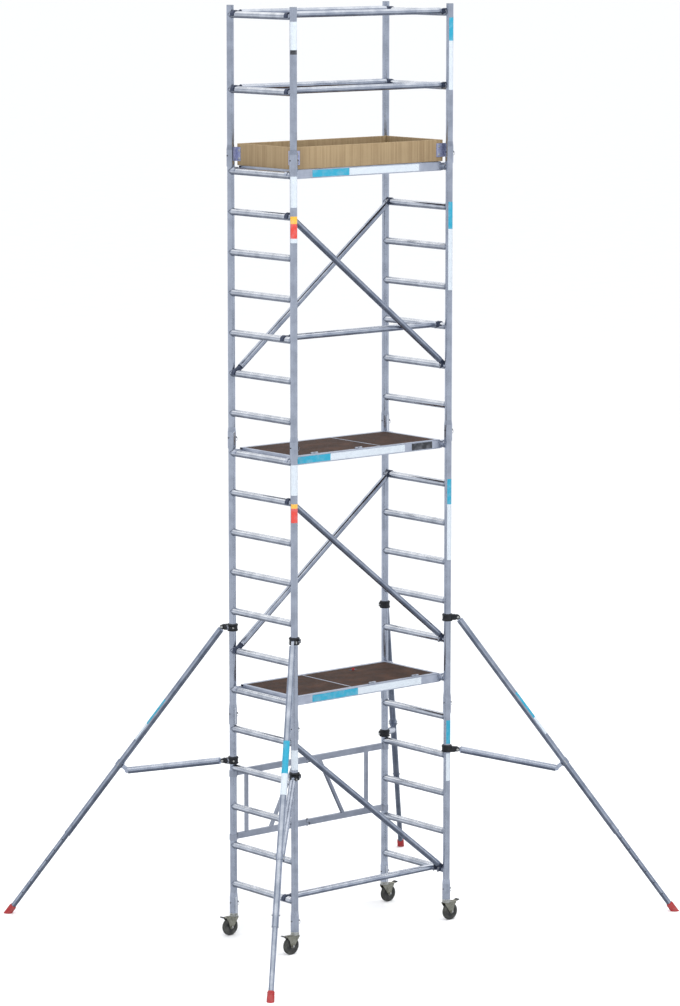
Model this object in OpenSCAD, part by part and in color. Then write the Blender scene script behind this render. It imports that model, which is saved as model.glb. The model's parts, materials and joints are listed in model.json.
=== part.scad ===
// Narrow mobile tower scaffold: welded ladder frames stacked four high, hooked decks and braces,
// swivel castors and four telescopic stabilisers.
// Origin: on the floor, at the centre of the four posts. X runs along the decks, Y across, Z up.

/* [Tower] */
// Distance between the post centres along the decks
bay_length = 1410; // [1300:10:1900]
// Distance between the post centres across the decks
bay_width = 680; // [680:10:900]
// Rise from one rung to the next
rung_pitch = 280; // [270:1:300]
// Height of the lowest rung above the floor
first_rung = 372; // [365:1:420]
// Height of the knee rung above the top deck's rung
knee_rise = 560; // [500:5:600]
// Height of the highest rung above the top deck's rung
guard_rise = 1071; // [1000:1:1100]

/* [Tubes] */
// Outside diameter of the posts
post_d = 50; // [49:0.5:51]
// Wall of the posts
post_wall = 3; // [2:0.5:3.5]
// Outside diameter of the rungs
rung_d = 48; // [46:1:48]
// Outside diameter of the braces and guard rails
brace_d = 44; // [38:1:44]
// Wall of the rungs and the braces
tube_wall = 2; // [1.5:0.5:3]
// Length that one frame sits over the frame below
socket_depth = 110; // [95:5:115]

/* [Decks] */
// Overall width of a deck
deck_w = 600; // [560:10:600]
// Height of a deck's side rail
deck_rail_h = 62; // [56:1:66]
// Thickness of the plywood
board_t = 12; // [9:1:15]
// Length of the trapdoor
hatch_l = 766; // [600:1:780]
// Height of the toe boards
toe_h = 150; // [100:5:160]

/* [Castors] */
// Diameter of the wheels
wheel_d = 125; // [120:1:125]
// Width of the tyres
wheel_w = 32; // [28:1:34]
// Distance of the axle from the swivel axis
trail = 35; // [25:1:38]

/* [Stabilisers] */
// Height of the upper clamps
upper_clamp_z = 2215; // [2190:5:2260]
// Height of the lower clamps
lower_clamp_z = 1264; // [1264:1:1270]
// Reach of each foot from its post: front left, back left, front right, back right
stab_reach = [1225, 1744, 1676, 1720]; // [1100:1:1900]
// Direction of each stabiliser, in degrees from the X axis
stab_turn = [-137.1, 120.2, -31.3, 45]; // [-180:0.1:180]
// Length of a stabiliser's brace
strut_l = 795; // [780:1:820]
// Length of the outer tube
outer_tube_l = 1985; // [1800:5:2000]

/* [Hidden] */
$fn = 48;

// The four posts: front left, back left, front right, back right
FL = 0;
BL = 1;
FR = 2;
BR = 3;
corner_signs = [[-1, -1], [-1, 1], [1, -1], [1, 1]];

half_l = bay_length / 2;
half_w = bay_width / 2;
post_r = post_d / 2;
rung_r = rung_d / 2;
brace_r = brace_d / 2;

// Small gap that keeps two welded or touching pieces separate solids
weld_gap = 0.2;
// Running clearance of pins and shafts
run_gap = 0.08;

// Rungs counted from the floor; a frame's last rung is also where a deck can hang
base_top = 5;
middle_top = 12;
upper_top = 19;
deck_rungs = [6, 12, 19];

function rung_z(k) = first_rung + (k - 1) * rung_pitch;
deck_top_z = rung_z(upper_top);
knee_z = deck_top_z + knee_rise;
guard_z = deck_top_z + guard_rise;
post_top_z = guard_z + 61;

// Sockets: the swaged lower end of each post
socket_wall = 3.5;
socket_r = post_r + 0.3 + socket_wall;
socket_lift = 30;           // bottom of a socket above the rung below it
socket_neck = 40;           // length over which the socket narrows to the post
base_bottom_z = 158;
pin_up = 75;                // height of the lock pin above the socket's bottom
pin_r = 4;

function socket_z(k) = rung_z(k) + socket_lift;

// Brace and claw layout
outer_brace_y = half_w - 50;   // plane of the diagonals and guard rails
inner_brace_y = half_w - 97;   // plane of the single horizontal braces
brace_lift = 12;               // brace axis above the rung it hooks on
claw_r = 31;
claw_gap = 0.3;
claw_reach = 50;               // from the rung's axis to the brace tube's end
claw_neck_h = 30;
claw_neck_w = 26;

// ---------------------------------------------------------------- general shapes

// Hollow round tube between two points of the plane y = const
module xz_tube(x1, z1, x2, z2, y, r, wall) {
    length = norm([x2 - x1, z2 - z1]);
    lean = atan2(x2 - x1, z2 - z1);
    translate([x1, y, z1]) rotate([0, lean, 0]) difference() {
        cylinder(r = r, h = length);
        translate([0, 0, -1]) cylinder(r = r - wall, h = length + 2);
    }
}

// Rectangular hollow bar along X
module x_bar(x1, x2, y, z, w, h, wall) {
    translate([x1, y - w / 2, z - h / 2]) difference() {
        cube([x2 - x1, w, h]);
        translate([-1, wall, wall]) cube([x2 - x1 + 2, w - 2 * wall, h - 2 * wall]);
    }
}

// Horizontal hole along X
module x_hole(z, r, reach) {
    translate([-reach, 0, z]) rotate([0, 90, 0]) cylinder(r = r, h = 2 * reach);
}

// ---------------------------------------------------------------- ladder frames

// A post whose lower end is swaged out to fit over the post or stem below it
module post(z_low, z_top, pinned_top) {
    inner = post_r - post_wall;
    socket_inner = post_r + 0.3;
    difference() {
        rotate_extrude() polygon([
            [socket_r, z_low], [socket_r, z_low + socket_depth + 5],
            [post_r, z_low + socket_depth + socket_neck], [post_r, z_top],
            [inner, z_top], [inner, z_low + socket_depth + socket_neck],
            [socket_inner, z_low + socket_depth + 5], [socket_inner, z_low]
        ]);
        x_hole(z_low + pin_up, pin_r + run_gap, 60);
        if (pinned_top) x_hole(z_top - socket_depth + pin_up, pin_r + run_gap, 60);
    }
}

// A rung coped against both posts
module rung(z) {
    translate([0, 0, z]) difference() {
        translate([0, half_w, 0]) rotate([90, 0, 0]) difference() {
            cylinder(r = rung_r, h = bay_width);
            translate([0, 0, -1]) cylinder(r = rung_r - tube_wall, h = bay_width + 2);
        }
        for (s = [-1, 1])
            translate([0, s * half_w, -rung_r - 1]) cylinder(r = post_r + weld_gap, h = rung_d + 2);
    }
}

module ladder_frame(side, z_low, z_top, rung_heights, pinned_top = true) {
    color("lightsteelblue") translate([side * half_l, 0, 0]) {
        for (s = [-1, 1]) translate([0, s * half_w, 0]) post(z_low, z_top, pinned_top);
        for (z = rung_heights) rung(z);
    }
}

module base_frame(side) {
    ladder_frame(side, base_bottom_z, socket_z(base_top) + socket_depth,
        [for (k = [1 : base_top]) rung_z(k)]);
}

module middle_frame(side) {
    ladder_frame(side, socket_z(base_top), socket_z(middle_top) + socket_depth,
        [for (k = [base_top + 1 : middle_top]) rung_z(k)]);
}

module upper_frame(side) {
    ladder_frame(side, socket_z(middle_top), socket_z(upper_top) + socket_depth,
        [for (k = [middle_top + 1 : upper_top]) rung_z(k)]);
}

module guard_frame(side) {
    ladder_frame(side, socket_z(upper_top), post_top_z, [knee_z, guard_z], false);
}

module post_caps() {
    cap_t = 4;
    color("gray") for (c = corner_signs)
        translate([c[0] * half_l, c[1] * half_w, post_top_z + weld_gap]) {
            cylinder(r = post_r, h = cap_t);
            translate([0, 0, -18]) cylinder(r = post_r - post_wall - weld_gap, h = 18);
        }
}

// Headed pins that lock each frame to the one below and each castor to its post
module lock_pins() {
    shank = 2 * socket_r + 10;
    color("dimgray") for (c = corner_signs)
        for (z = concat([base_bottom_z], [for (k = [base_top, middle_top, upper_top]) socket_z(k)]))
            translate([c[0] * half_l, c[1] * half_w, z + pin_up]) rotate([0, 90, 0]) {
                translate([0, 0, -shank / 2]) cylinder(r = pin_r, h = shank);
                translate([0, 0, shank / 2]) cylinder(r = 7, h = 5);
            }
}

// ---------------------------------------------------------------- folding gate of the base

gate_mid_x = -30;               // where the two halves meet
gate_rail_z = [712, 1171];
gate_rail_h = 42;
gate_rail_w = 25;
gate_bar = 22;
// Distances from the middle knuckles
gate_upright_x = 557;
gate_diagonal_x = [333, 119];   // at the lower and at the upper rail
gate_sleeve_r = post_r + 0.3 + 3.5;
gate_sleeve_drop = 5;           // the sleeves sit this far below their rails, clear of the rungs

module gate_half(side) {
    knuckle_r = 13;
    mid = side * gate_mid_x;
    rail_start = mid + knuckle_r + 3;
    rail_end = half_l - gate_sleeve_r - weld_gap;
    low = gate_rail_z[0] + gate_rail_h / 2 + weld_gap;
    high = gate_rail_z[1] - gate_rail_h / 2 - weld_gap;
    rise = high - low;
    run = gate_diagonal_x[1] - gate_diagonal_x[0];
    color("lightsteelblue") mirror([side < 0 ? 1 : 0, 0, 0]) {
        for (z = gate_rail_z) {
            x_bar(rail_start, rail_end, half_w, z, gate_rail_w, gate_rail_h, 2);
            // Sleeve that turns round the post
            translate([half_l, half_w, z - gate_rail_h / 2 - gate_sleeve_drop]) difference() {
                cylinder(r = gate_sleeve_r, h = gate_rail_h);
                translate([0, 0, -1]) cylinder(r = post_r + 0.3, h = gate_rail_h + 2);
            }
        }
        // Upright near the post
        translate([mid + gate_upright_x - gate_bar / 2, half_w - gate_bar / 2, low]) difference() {
            cube([gate_bar, gate_bar, rise]);
            translate([2, 2, -1]) cube([gate_bar - 4, gate_bar - 4, rise + 2]);
        }
        // Diagonal, cut level with the rails
        intersection() {
            translate([0, half_w - gate_bar / 2, low]) cube([half_l, gate_bar, rise]);
            translate([mid + gate_diagonal_x[0], half_w, low]) rotate([0, atan2(run, rise), 0])
                translate([-gate_bar / 2, -gate_bar / 2, -40]) difference() {
                    cube([gate_bar, gate_bar, rise + 160]);
                    translate([2, 2, -1]) cube([gate_bar - 4, gate_bar - 4, rise + 162]);
                }
        }
        // Half of each hinge knuckle: the left half carries the lower one
        for (z = gate_rail_z) {
            z_low = side < 0 ? z - gate_rail_h / 2 : z + 1;
            translate([mid, half_w, z_low]) difference() {
                union() {
                    cylinder(r = knuckle_r, h = gate_rail_h / 2 - 1);
                    translate([0, -gate_rail_w / 2, 0])
                        cube([rail_start - mid - weld_gap, gate_rail_w, gate_rail_h / 2 - 1]);
                }
                translate([0, 0, -1]) cylinder(r = 6 + run_gap, h = gate_rail_h);
            }
        }
    }
}

// ---------------------------------------------------------------- braces

// Each brace: [left height, right height, y]
horizontal_list = [
    [rung_z(1), rung_z(1), -inner_brace_y],
    [rung_z(15), rung_z(15), -inner_brace_y]
];
base_diagonal_list = [[rung_z(5), rung_z(1), -outer_brace_y]];
middle_diagonal_list = [
    [rung_z(11), rung_z(7), -outer_brace_y],
    [rung_z(7), rung_z(11), outer_brace_y]
];
upper_diagonal_list = [
    [rung_z(18), rung_z(14), -outer_brace_y],
    [rung_z(14), rung_z(18), outer_brace_y]
];
guard_list = [for (s = [-1, 1]) for (z = [knee_z, guard_z]) [z, z, s * outer_brace_y]];
all_braces = concat(horizontal_list, base_diagonal_list, middle_diagonal_list,
    upper_diagonal_list, guard_list);

function brace_lean(b) = atan2(b[1] - b[0], bay_length);

module brace_tube(b) {
    a = brace_lean(b);
    dx = claw_reach * cos(a);
    dz = claw_reach * sin(a);
    xz_tube(-half_l + dx, b[0] + brace_lift + dz, half_l - dx, b[1] + brace_lift - dz,
        b[2], brace_r, tube_wall);
}

module braces(list) {
    color("lightsteelblue") for (b = list) brace_tube(b);
}

// Hook over a rung whose axis is the local Y axis, with the neck towards +X, leaning by a
module claw(a, width) {
    difference() {
        union() {
            difference() {
                translate([0, width / 2, 0]) rotate([90, 0, 0]) cylinder(r = claw_r, h = width);
                // The mouth opens downwards
                translate([-claw_r - 1, -width, -claw_r - 1])
                    cube([2 * claw_r + 2, 2 * width, claw_r - 9]);
            }
            translate([0, 0, brace_lift]) rotate([0, -a, 0]) {
                translate([0, -claw_neck_w / 2, -claw_neck_h / 2])
                    cube([claw_reach - weld_gap, claw_neck_w, claw_neck_h]);
                translate([claw_reach - 1, 0, 0]) rotate([0, 90, 0])
                    cylinder(r = brace_r - tube_wall - weld_gap, h = 35);
            }
        }
        translate([0, width, 0]) rotate([90, 0, 0]) cylinder(r = rung_r + claw_gap, h = 2 * width);
        translate([-rung_r - claw_gap, -width, -claw_r - 10])
            cube([2 * (rung_r + claw_gap), 2 * width, claw_r + 10]);
    }
}

module brace_claws() {
    claw_w = 30;
    color("darkslategray") for (b = all_braces) {
        a = brace_lean(b);
        translate([-half_l, b[2], b[0]]) claw(a, claw_w);
        translate([half_l, b[2], b[1]]) mirror([1, 0, 0]) claw(-a, claw_w);
    }
}

// ---------------------------------------------------------------- decks

deck_rail_w = 30;
deck_rail_top = 37;                       // above the rung's centre
deck_end_x = half_l - 40;                 // outer end of the side rails
end_bar_w = 25;
ledge_w = 12;
cross_bar_w = 20;
rail_inner_y = deck_w / 2 - deck_rail_w;
board_end_x = deck_end_x - end_bar_w;
board_edge_gap = 2;
hatch_split_x = board_end_x - hatch_l;    // edge of the trapdoor, towards the middle
hinge_r = 5;
hinge_pin_r = 2.5;
hinge_y = -rail_inner_y + 4;
hinge_z = deck_rail_top + hinge_r + 0.5;
hinge_places = [hatch_split_x + 190, hatch_split_x + 590];
hinge_l = 60;
leaf_t = 2;

// Fixed leaf, outer knuckles and pin of one trapdoor hinge, on top of the front rail
module fixed_hinge(x) {
    difference() {
        union() {
            translate([x - hinge_l / 2, hinge_y - 24, deck_rail_top + weld_gap])
                cube([hinge_l, 20, leaf_t]);
            for (s = [-1, 1]) translate([x + s * 20, hinge_y, hinge_z]) {
                translate([-10, 0, 0]) rotate([0, 90, 0]) cylinder(r = hinge_r, h = 20);
                translate([-10, -6, -hinge_r]) cube([20, 6, leaf_t]);
            }
        }
        translate([x - hinge_l, hinge_y, hinge_z]) rotate([0, 90, 0])
            cylinder(r = hinge_pin_r, h = 2 * hinge_l);
    }
    translate([x - hinge_l / 2, hinge_y, hinge_z]) rotate([0, 90, 0])
        cylinder(r = hinge_pin_r, h = hinge_l);
}

module deck_hook() {
    hook_w = 26;
    neck = half_l - deck_end_x;
    difference() {
        union() {
            translate([0, hook_w / 2, 0]) rotate([90, 0, 0]) cylinder(r = claw_r, h = hook_w);
            translate([-neck + weld_gap, -hook_w / 2, -24]) cube([neck, hook_w, 50]);
        }
        translate([0, hook_w, 0]) rotate([90, 0, 0])
            cylinder(r = rung_r + claw_gap, h = 2 * hook_w);
        translate([-rung_r - claw_gap, -hook_w, -claw_r - 1])
            cube([rung_d + 20, 2 * hook_w, claw_r + 1]);
    }
}

// Aluminium frame of a deck; face is +1 with the trapdoor towards +X, -1 towards -X
module deck_frame(k, face) {
    mid_z = deck_rail_top - deck_rail_h / 2;
    color("lightsteelblue") translate([0, 0, rung_z(k)]) mirror([face < 0 ? 1 : 0, 0, 0]) {
        for (s = [-1, 1]) {
            x_bar(-deck_end_x, deck_end_x, s * (deck_w - deck_rail_w) / 2, mid_z,
                deck_rail_w, deck_rail_h, 2.5);
            // Ledge that the boards lie on
            translate([-board_end_x + weld_gap, s * (rail_inner_y - ledge_w / 2) - ledge_w / 2
                - s * weld_gap, deck_rail_top - board_t - 4])
                cube([2 * (board_end_x - weld_gap), ledge_w, 3.8]);
            // End bar between the rails
            translate([s * (deck_end_x - end_bar_w / 2) - end_bar_w / 2,
                -rail_inner_y + weld_gap, mid_z - 24])
                difference() {
                    cube([end_bar_w, 2 * (rail_inner_y - weld_gap), 24 + deck_rail_top - mid_z]);
                    translate([2, -1, 2]) cube([end_bar_w - 4, 2 * rail_inner_y + 2,
                        20 + deck_rail_top - mid_z]);
                }
            for (t = [-1, 1]) translate([s * half_l, t * (deck_w - deck_rail_w) / 2, 0])
                mirror([s < 0 ? 1 : 0, 0, 0]) deck_hook();
        }
        // Cross bar under the joint of the board and the trapdoor, stepped to pass below the ledges
        translate([hatch_split_x - cross_bar_w / 2, 0, 0]) {
            translate([0, -rail_inner_y + weld_gap, -12])
                cube([cross_bar_w, 2 * (rail_inner_y - weld_gap), deck_rail_top - board_t + 7.8]);
            translate([0, -rail_inner_y + ledge_w + 1, 0]) cube([cross_bar_w,
                2 * (rail_inner_y - ledge_w - 1), deck_rail_top - board_t - weld_gap]);
        }
        for (x = hinge_places) fixed_hinge(x);
    }
}

// Fixed plywood board of each deck
module deck_boards() {
    w = 2 * (rail_inner_y - board_edge_gap);
    color("saddlebrown") for (i = [0 : 2]) translate([0, 0, rung_z(deck_rungs[i])])
        mirror([i == 1 ? 1 : 0, 0, 0])
            translate([-board_end_x + 1, -w / 2, deck_rail_top - board_t])
                cube([board_end_x + hatch_split_x - 2, w, board_t]);
}

// Trapdoor with its moving hinge leaves
module hatch(k, face) {
    edge = rail_inner_y - board_edge_gap;
    color("saddlebrown") translate([0, 0, rung_z(k)]) mirror([face < 0 ? 1 : 0, 0, 0]) {
        translate([hatch_split_x + 1, -edge, deck_rail_top - board_t])
            cube([hatch_l - 2, 2 * edge, board_t]);
        for (x = hinge_places) difference() {
            union() {
                translate([x - 9.5, hinge_y, hinge_z]) rotate([0, 90, 0])
                    cylinder(r = hinge_r, h = 19);
                translate([x - 9.5, hinge_y, deck_rail_top]) cube([19, 32, leaf_t]);
            }
            translate([x - 20, hinge_y, hinge_z]) rotate([0, 90, 0])
                cylinder(r = hinge_pin_r + run_gap, h = 40);
        }
    }
}

// ---------------------------------------------------------------- toe boards

toe_t = 25;
toe_low = deck_rail_top + 3;
toe_x = half_l - 25;             // outer face of the end boards
toe_y = deck_w / 2;              // outer face of the long boards

module toe_boards() {
    color("tan") translate([0, 0, deck_top_z + toe_low]) {
        for (s = [-1, 1]) {
            translate([-toe_x, s > 0 ? toe_y - toe_t : -toe_y, 0]) cube([2 * toe_x, toe_t, toe_h]);
            translate([s > 0 ? toe_x - toe_t : -toe_x, -toe_y + toe_t + weld_gap, 0])
                cube([toe_t, 2 * (toe_y - toe_t - weld_gap), toe_h]);
        }
    }
}

// Angle plates that hold the toe boards together at the corners
module toe_board_clips() {
    t = 3;
    leg_x = 62;
    leg_y = 40;
    h = 96;
    tab = 30;                // reaches past the post's inner side
    color("slategray") for (c = corner_signs)
        mirror([c[0] < 0 ? 1 : 0, 0, 0]) mirror([0, c[1] < 0 ? 1 : 0, 0])
            translate([0, 0, deck_top_z + toe_low + 30]) {
                translate([toe_x - leg_x, toe_y + weld_gap, 0]) cube([leg_x + tab, t, h]);
                translate([toe_x + weld_gap, toe_y - leg_y, 0]) cube([t, leg_y + t, h]);
            }
}

// ---------------------------------------------------------------- castors

axle_z = wheel_d / 2;
axle_r = 6;
crown_z = wheel_d + 5;
crown_t = 4;
race_h = 14;
stem_low = crown_z + crown_t + race_h + 0.5;
fork_inner = wheel_w / 2 + 3;
fork_t = 3;
kingpin_r = 6;
pedal_pivot = [-trail - 33, crown_z - 1];

module at_post(i) {
    translate([corner_signs[i][0] * half_l, corner_signs[i][1] * half_w, 0]) children();
}

// Castors trail outwards along X
module at_castor(i) {
    at_post(i) mirror([corner_signs[i][0] > 0 ? 1 : 0, 0, 0]) children();
}

// Stub in the post's socket, with the kingpin that the fork swivels on
module castor_stems() {
    color("silver") for (i = [FL : BR]) at_post(i) {
        difference() {
            translate([0, 0, base_bottom_z + weld_gap])
                cylinder(r = post_r, h = socket_depth - 10);
            x_hole(base_bottom_z + pin_up, pin_r + run_gap, 60);
        }
        translate([0, 0, stem_low]) cylinder(r = socket_r, h = base_bottom_z - stem_low);
        translate([0, 0, crown_z - 4]) cylinder(r = kingpin_r, h = base_bottom_z - crown_z + 6);
        translate([0, 0, crown_z - 4.5]) cylinder(r = 8, h = 4);
    }
}

// Outline of a fork leg in X and Z, from the crown to the axle
module fork_leg_outline() {
    polygon([
        [26, crown_z + crown_t], [26, crown_z - 6], [-trail + 15, axle_z - 2],
        [-trail - 15, axle_z - 2], [-trail - 26, crown_z - 26],
        [pedal_pivot[0] - 9, crown_z - 8], [pedal_pivot[0] - 9, crown_z + crown_t]
    ]);
    translate([-trail, axle_z]) circle(r = 15);
}

module castor_fork(i) {
    color("gray") at_castor(i) {
        difference() {
            union() {
                for (s = [-1, 1]) translate([0, s * (fork_inner + fork_t / 2) + fork_t / 2, 0])
                    rotate([90, 0, 0]) linear_extrude(fork_t) fork_leg_outline();
                translate([pedal_pivot[0] + 16, -fork_inner - 1, crown_z])
                    cube([42 - pedal_pivot[0] - 32, 2 * fork_inner + 2, crown_t]);
                translate([0, 0, crown_z]) cylinder(r = 27, h = crown_t + race_h);
            }
            // Room for the kingpin and its nut
            translate([0, 0, crown_z - 1]) cylinder(r = kingpin_r + run_gap, h = 40);
            for (s = [-1, 1]) translate([pedal_pivot[0], 60, pedal_pivot[1]])
                rotate([90, 0, 0]) cylinder(r = 3 + run_gap, h = 120);
        }
        translate([-trail, fork_inner + fork_t + 8, axle_z]) rotate([90, 0, 0])
            cylinder(r = axle_r, h = 2 * (fork_inner + fork_t + 8));
        for (s = [-1, 1]) translate([-trail, s * (fork_inner + fork_t + 3) + 3, axle_z])
            rotate([90, 0, 0]) cylinder(r = 10, h = 6, $fn = 6);
    }
}

// Wheel: hub, web and tyre in one turned section
module castor_wheel(i) {
    r = wheel_d / 2;
    hw = wheel_w / 2;
    color("dimgray") at_castor(i) translate([-trail, 0, axle_z]) rotate([90, 0, 0])
        rotate_extrude() polygon([
            [axle_r + run_gap, -hw - 2], [14, -hw - 2], [16, -hw + 5], [40, -hw + 5],
            [44, -hw + 1], [56, -hw], [r - 2, -hw + 5], [r, -hw + 11], [r, hw - 11],
            [r - 2, hw - 5], [56, hw], [44, hw - 1], [40, hw - 5], [16, hw - 5],
            [14, hw + 2], [axle_r + run_gap, hw + 2]
        ]);
}

// Brake pedal, hinged between the fork's legs
module castor_pedal(i) {
    w = 2 * fork_inner - 4;
    color("gray") at_castor(i) translate([pedal_pivot[0], 0, pedal_pivot[1]]) {
        rotate([90, 0, 0]) translate([0, 0, -fork_inner - fork_t - 1])
            cylinder(r = 3, h = 2 * (fork_inner + fork_t + 1));
        translate([0, w / 2, 0]) rotate([90, 0, 0]) cylinder(r = 6, h = w);
        translate([-12, -w / 2, 0]) cube([12, w, 4]);
        translate([-10, -w / 2, 0]) rotate([0, 14, 0]) translate([-34, 0, 0]) cube([35, w, 4]);
    }
}

// ---------------------------------------------------------------- stabilisers

outer_tube_r = 23;
leg_r = 19;
strut_r = 24;
pivot_x = 74;                   // from the post's axis to the stabiliser's pivots
clamp_h = 50;
clamp_r = 35;
foot_r = 26;
foot_l = 56;
foot_tip_z = 16;                // height of the leg's axis where it meets the floor
strut_drop = 8;                 // the brace's pivot lies this far below the lower clamp's middle
tube_start = 26;                // tube begins this far below its pivot
leg_inside = 620;
leg_hole_step = 105;

strut_pivot_z = lower_clamp_z - strut_drop;

function stab_drop() = upper_clamp_z - foot_tip_z;
function stab_tilt(i) = atan2(stab_reach[i] - pivot_x, stab_drop());
function stab_length(i) = norm([stab_reach[i] - pivot_x, stab_drop()]);
// Distance along the tube at which the brace's collar sits
function collar_at(i) = let (h = upper_clamp_z - strut_pivot_z, a = stab_tilt(i))
    h * cos(a) + sqrt(pow(strut_l, 2) - pow(h * sin(a), 2));

// Local frame of a stabiliser: X points away from the post
module at_stabiliser(i) {
    at_post(i) rotate([0, 0, stab_turn[i]]) children();
}

// Local frame of its tube: Z runs down the tube from the upper pivot
module at_tube(i) {
    at_stabiliser(i) translate([pivot_x, 0, upper_clamp_z])
        rotate([0, 180 - stab_tilt(i), 0]) children();
}

// Clamp round the post with two cheeks that hold the end of the tube or of the brace, a drop below
// the clamp's middle
module clamp_body(z, drop = 0) {
    cheek_in = 13;
    cheek_t = 7;
    translate([0, 0, z]) difference() {
        union() {
            translate([0, 0, -clamp_h / 2]) cylinder(r = clamp_r, h = clamp_h);
            translate([20, -cheek_in - cheek_t, -drop - clamp_h / 2 + 6])
                cube([pivot_x - 36, 2 * (cheek_in + cheek_t), clamp_h - 12]);
            for (s = [-1, 1]) translate([0, s * (cheek_in + cheek_t / 2) + cheek_t / 2, -drop]) {
                translate([pivot_x, 0, 0]) rotate([90, 0, 0]) cylinder(r = 16, h = cheek_t);
                translate([pivot_x - 17, -cheek_t, -16]) cube([17, cheek_t, 32]);
            }
            // Bolt lug on the side
            translate([-14, clamp_r - 8, -12]) cube([28, 17, 24]);
        }
        translate([0, 0, -clamp_h]) cylinder(r = post_r + 0.1, h = 2 * clamp_h);
        // Split between the two jaws
        translate([-1.5, post_r - 2, -clamp_h]) cube([3, 30, 2 * clamp_h]);
    }
    // Pivot bolt
    translate([pivot_x, cheek_in + cheek_t + 7, z - drop]) rotate([90, 0, 0])
        cylinder(r = 6, h = 2 * (cheek_in + cheek_t + 7));
}

module stab_clamps(i) {
    color("#26282b") at_stabiliser(i) {
        clamp_body(upper_clamp_z);
        clamp_body(lower_clamp_z, strut_drop);
    }
}

// Outer tube with a flat eye at the top, an end bush and the brace's collar
module stab_tube(i) {
    s = collar_at(i);
    color("lightsteelblue") at_tube(i) {
        difference() {
            translate([0, 0, tube_start]) cylinder(r = outer_tube_r, h = outer_tube_l - tube_start);
            translate([0, 0, tube_start + 3])
                cylinder(r = outer_tube_r - tube_wall, h = outer_tube_l);
        }
        difference() {
            union() {
                translate([0, 10, 0]) rotate([90, 0, 0]) cylinder(r = 14, h = 20);
                translate([-14, -10, 0]) cube([28, 20, tube_start + 1]);
            }
            rotate([90, 0, 0]) translate([0, 0, -30]) cylinder(r = 6.1, h = 60);
        }
        // Bush that guides the leg
        translate([0, 0, outer_tube_l + weld_gap - 40]) difference() {
            union() {
                cylinder(r = outer_tube_r - tube_wall - weld_gap, h = 40);
                translate([0, 0, 40]) cylinder(r = outer_tube_r + 1, h = 8);
            }
            translate([0, 0, -1]) cylinder(r = leg_r + run_gap, h = 60);
        }
        // Collar with two ears for the brace
        translate([0, 0, s - 20]) difference() {
            cylinder(r = outer_tube_r + 5, h = 40);
            translate([0, 0, -1]) cylinder(r = outer_tube_r + weld_gap, h = 42);
        }
    }
}

// Angled brace between the lower clamp and a link that stands off the collar
module stab_strut(i) {
    s = collar_at(i);
    a = stab_tilt(i);
    ear = outer_tube_r + 5 + weld_gap;
    standoff = 76;
    x2 = pivot_x + s * sin(a) - standoff * cos(a);
    z2 = upper_clamp_z - s * cos(a) - standoff * sin(a);
    lean = atan2(x2 - pivot_x, z2 - strut_pivot_z);
    length = norm([x2 - pivot_x, z2 - strut_pivot_z]);
    color("lightsteelblue") at_stabiliser(i) {
        translate([pivot_x, 0, strut_pivot_z]) rotate([0, lean, 0]) {
            difference() {
                union() {
                    translate([0, 10, 0]) rotate([90, 0, 0]) cylinder(r = 13, h = 20);
                    translate([-13, -10, 0]) cube([26, 20, 28]);
                }
                rotate([90, 0, 0]) translate([0, 0, -30]) cylinder(r = 6.1, h = 60);
            }
            translate([0, 0, 26]) difference() {
                cylinder(r = strut_r, h = length - 30);
                translate([0, 0, 4]) cylinder(r = strut_r - tube_wall, h = length - 38);
                // Vent hole on the underside, which a tube with closed ends needs for welding
                translate([0, 0, 20]) rotate([0, 90, 0]) cylinder(r = 3, h = 2 * strut_r);
            }
        }
        // Link from the collar to the end of the brace
        translate([x2, 0, z2]) rotate([0, 90 - a, 0]) {
            translate([0, strut_r + 2, 0]) rotate([90, 0, 0]) cylinder(r = 14, h = 2 * strut_r + 4);
            translate([-12, -11, 0]) cube([24, 22, standoff - ear]);
        }
    }
}

module stab_leg(i) {
    length = stab_length(i) - outer_tube_l + leg_inside - foot_l + 12;
    color("silver") at_tube(i) translate([0, 0, outer_tube_l - leg_inside]) difference() {
        cylinder(r = leg_r, h = length);
        translate([0, 0, -1]) cylinder(r = leg_r - tube_wall, h = length - 6);
        for (h = [leg_inside + 60 : leg_hole_step : length - 70])
            translate([0, 40, h]) rotate([90, 0, 0]) cylinder(r = 4.5, h = 80);
    }
}

// Rubber foot, cut level with the floor
module stab_foot(i) {
    tip = stab_length(i);
    color("firebrick") intersection() {
        at_tube(i) translate([0, 0, tip - foot_l]) difference() {
            cylinder(r = foot_r, h = foot_l + 40);
            translate([0, 0, -1]) cylinder(r = leg_r + weld_gap, h = 14);
        }
        translate([-5000, -5000, 0]) cube([10000, 10000, 1000]);
    }
}

// ---------------------------------------------------------------- drawing

base_frame(-1);  // left_base_frame
base_frame(1);  // right_base_frame
middle_frame(-1);  // left_middle_frame
middle_frame(1);  // right_middle_frame
upper_frame(-1);  // left_upper_frame
upper_frame(1);  // right_upper_frame
guard_frame(-1);  // left_guard_frame
guard_frame(1);  // right_guard_frame
gate_half(-1);  // left_gate
gate_half(1);  // right_gate
braces(horizontal_list);  // horizontal_braces
braces(base_diagonal_list);  // base_diagonal
braces(middle_diagonal_list);  // middle_diagonals
braces(upper_diagonal_list);  // upper_diagonals
braces(guard_list);  // guard_rails
brace_claws();
deck_frame(deck_rungs[0], 1);  // lower_deck_frame
deck_frame(deck_rungs[1], -1);  // middle_deck_frame
deck_frame(deck_rungs[2], 1);  // top_deck_frame
hatch(deck_rungs[0], 1);  // lower_hatch
hatch(deck_rungs[1], -1);  // middle_hatch
hatch(deck_rungs[2], 1);  // top_hatch
deck_boards();
toe_boards();
toe_board_clips();
lock_pins();
post_caps();
castor_stems();
castor_fork(FL);  // front_left_fork
castor_wheel(FL);  // front_left_wheel
castor_pedal(FL);  // front_left_pedal
castor_fork(BL);  // back_left_fork
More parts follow.
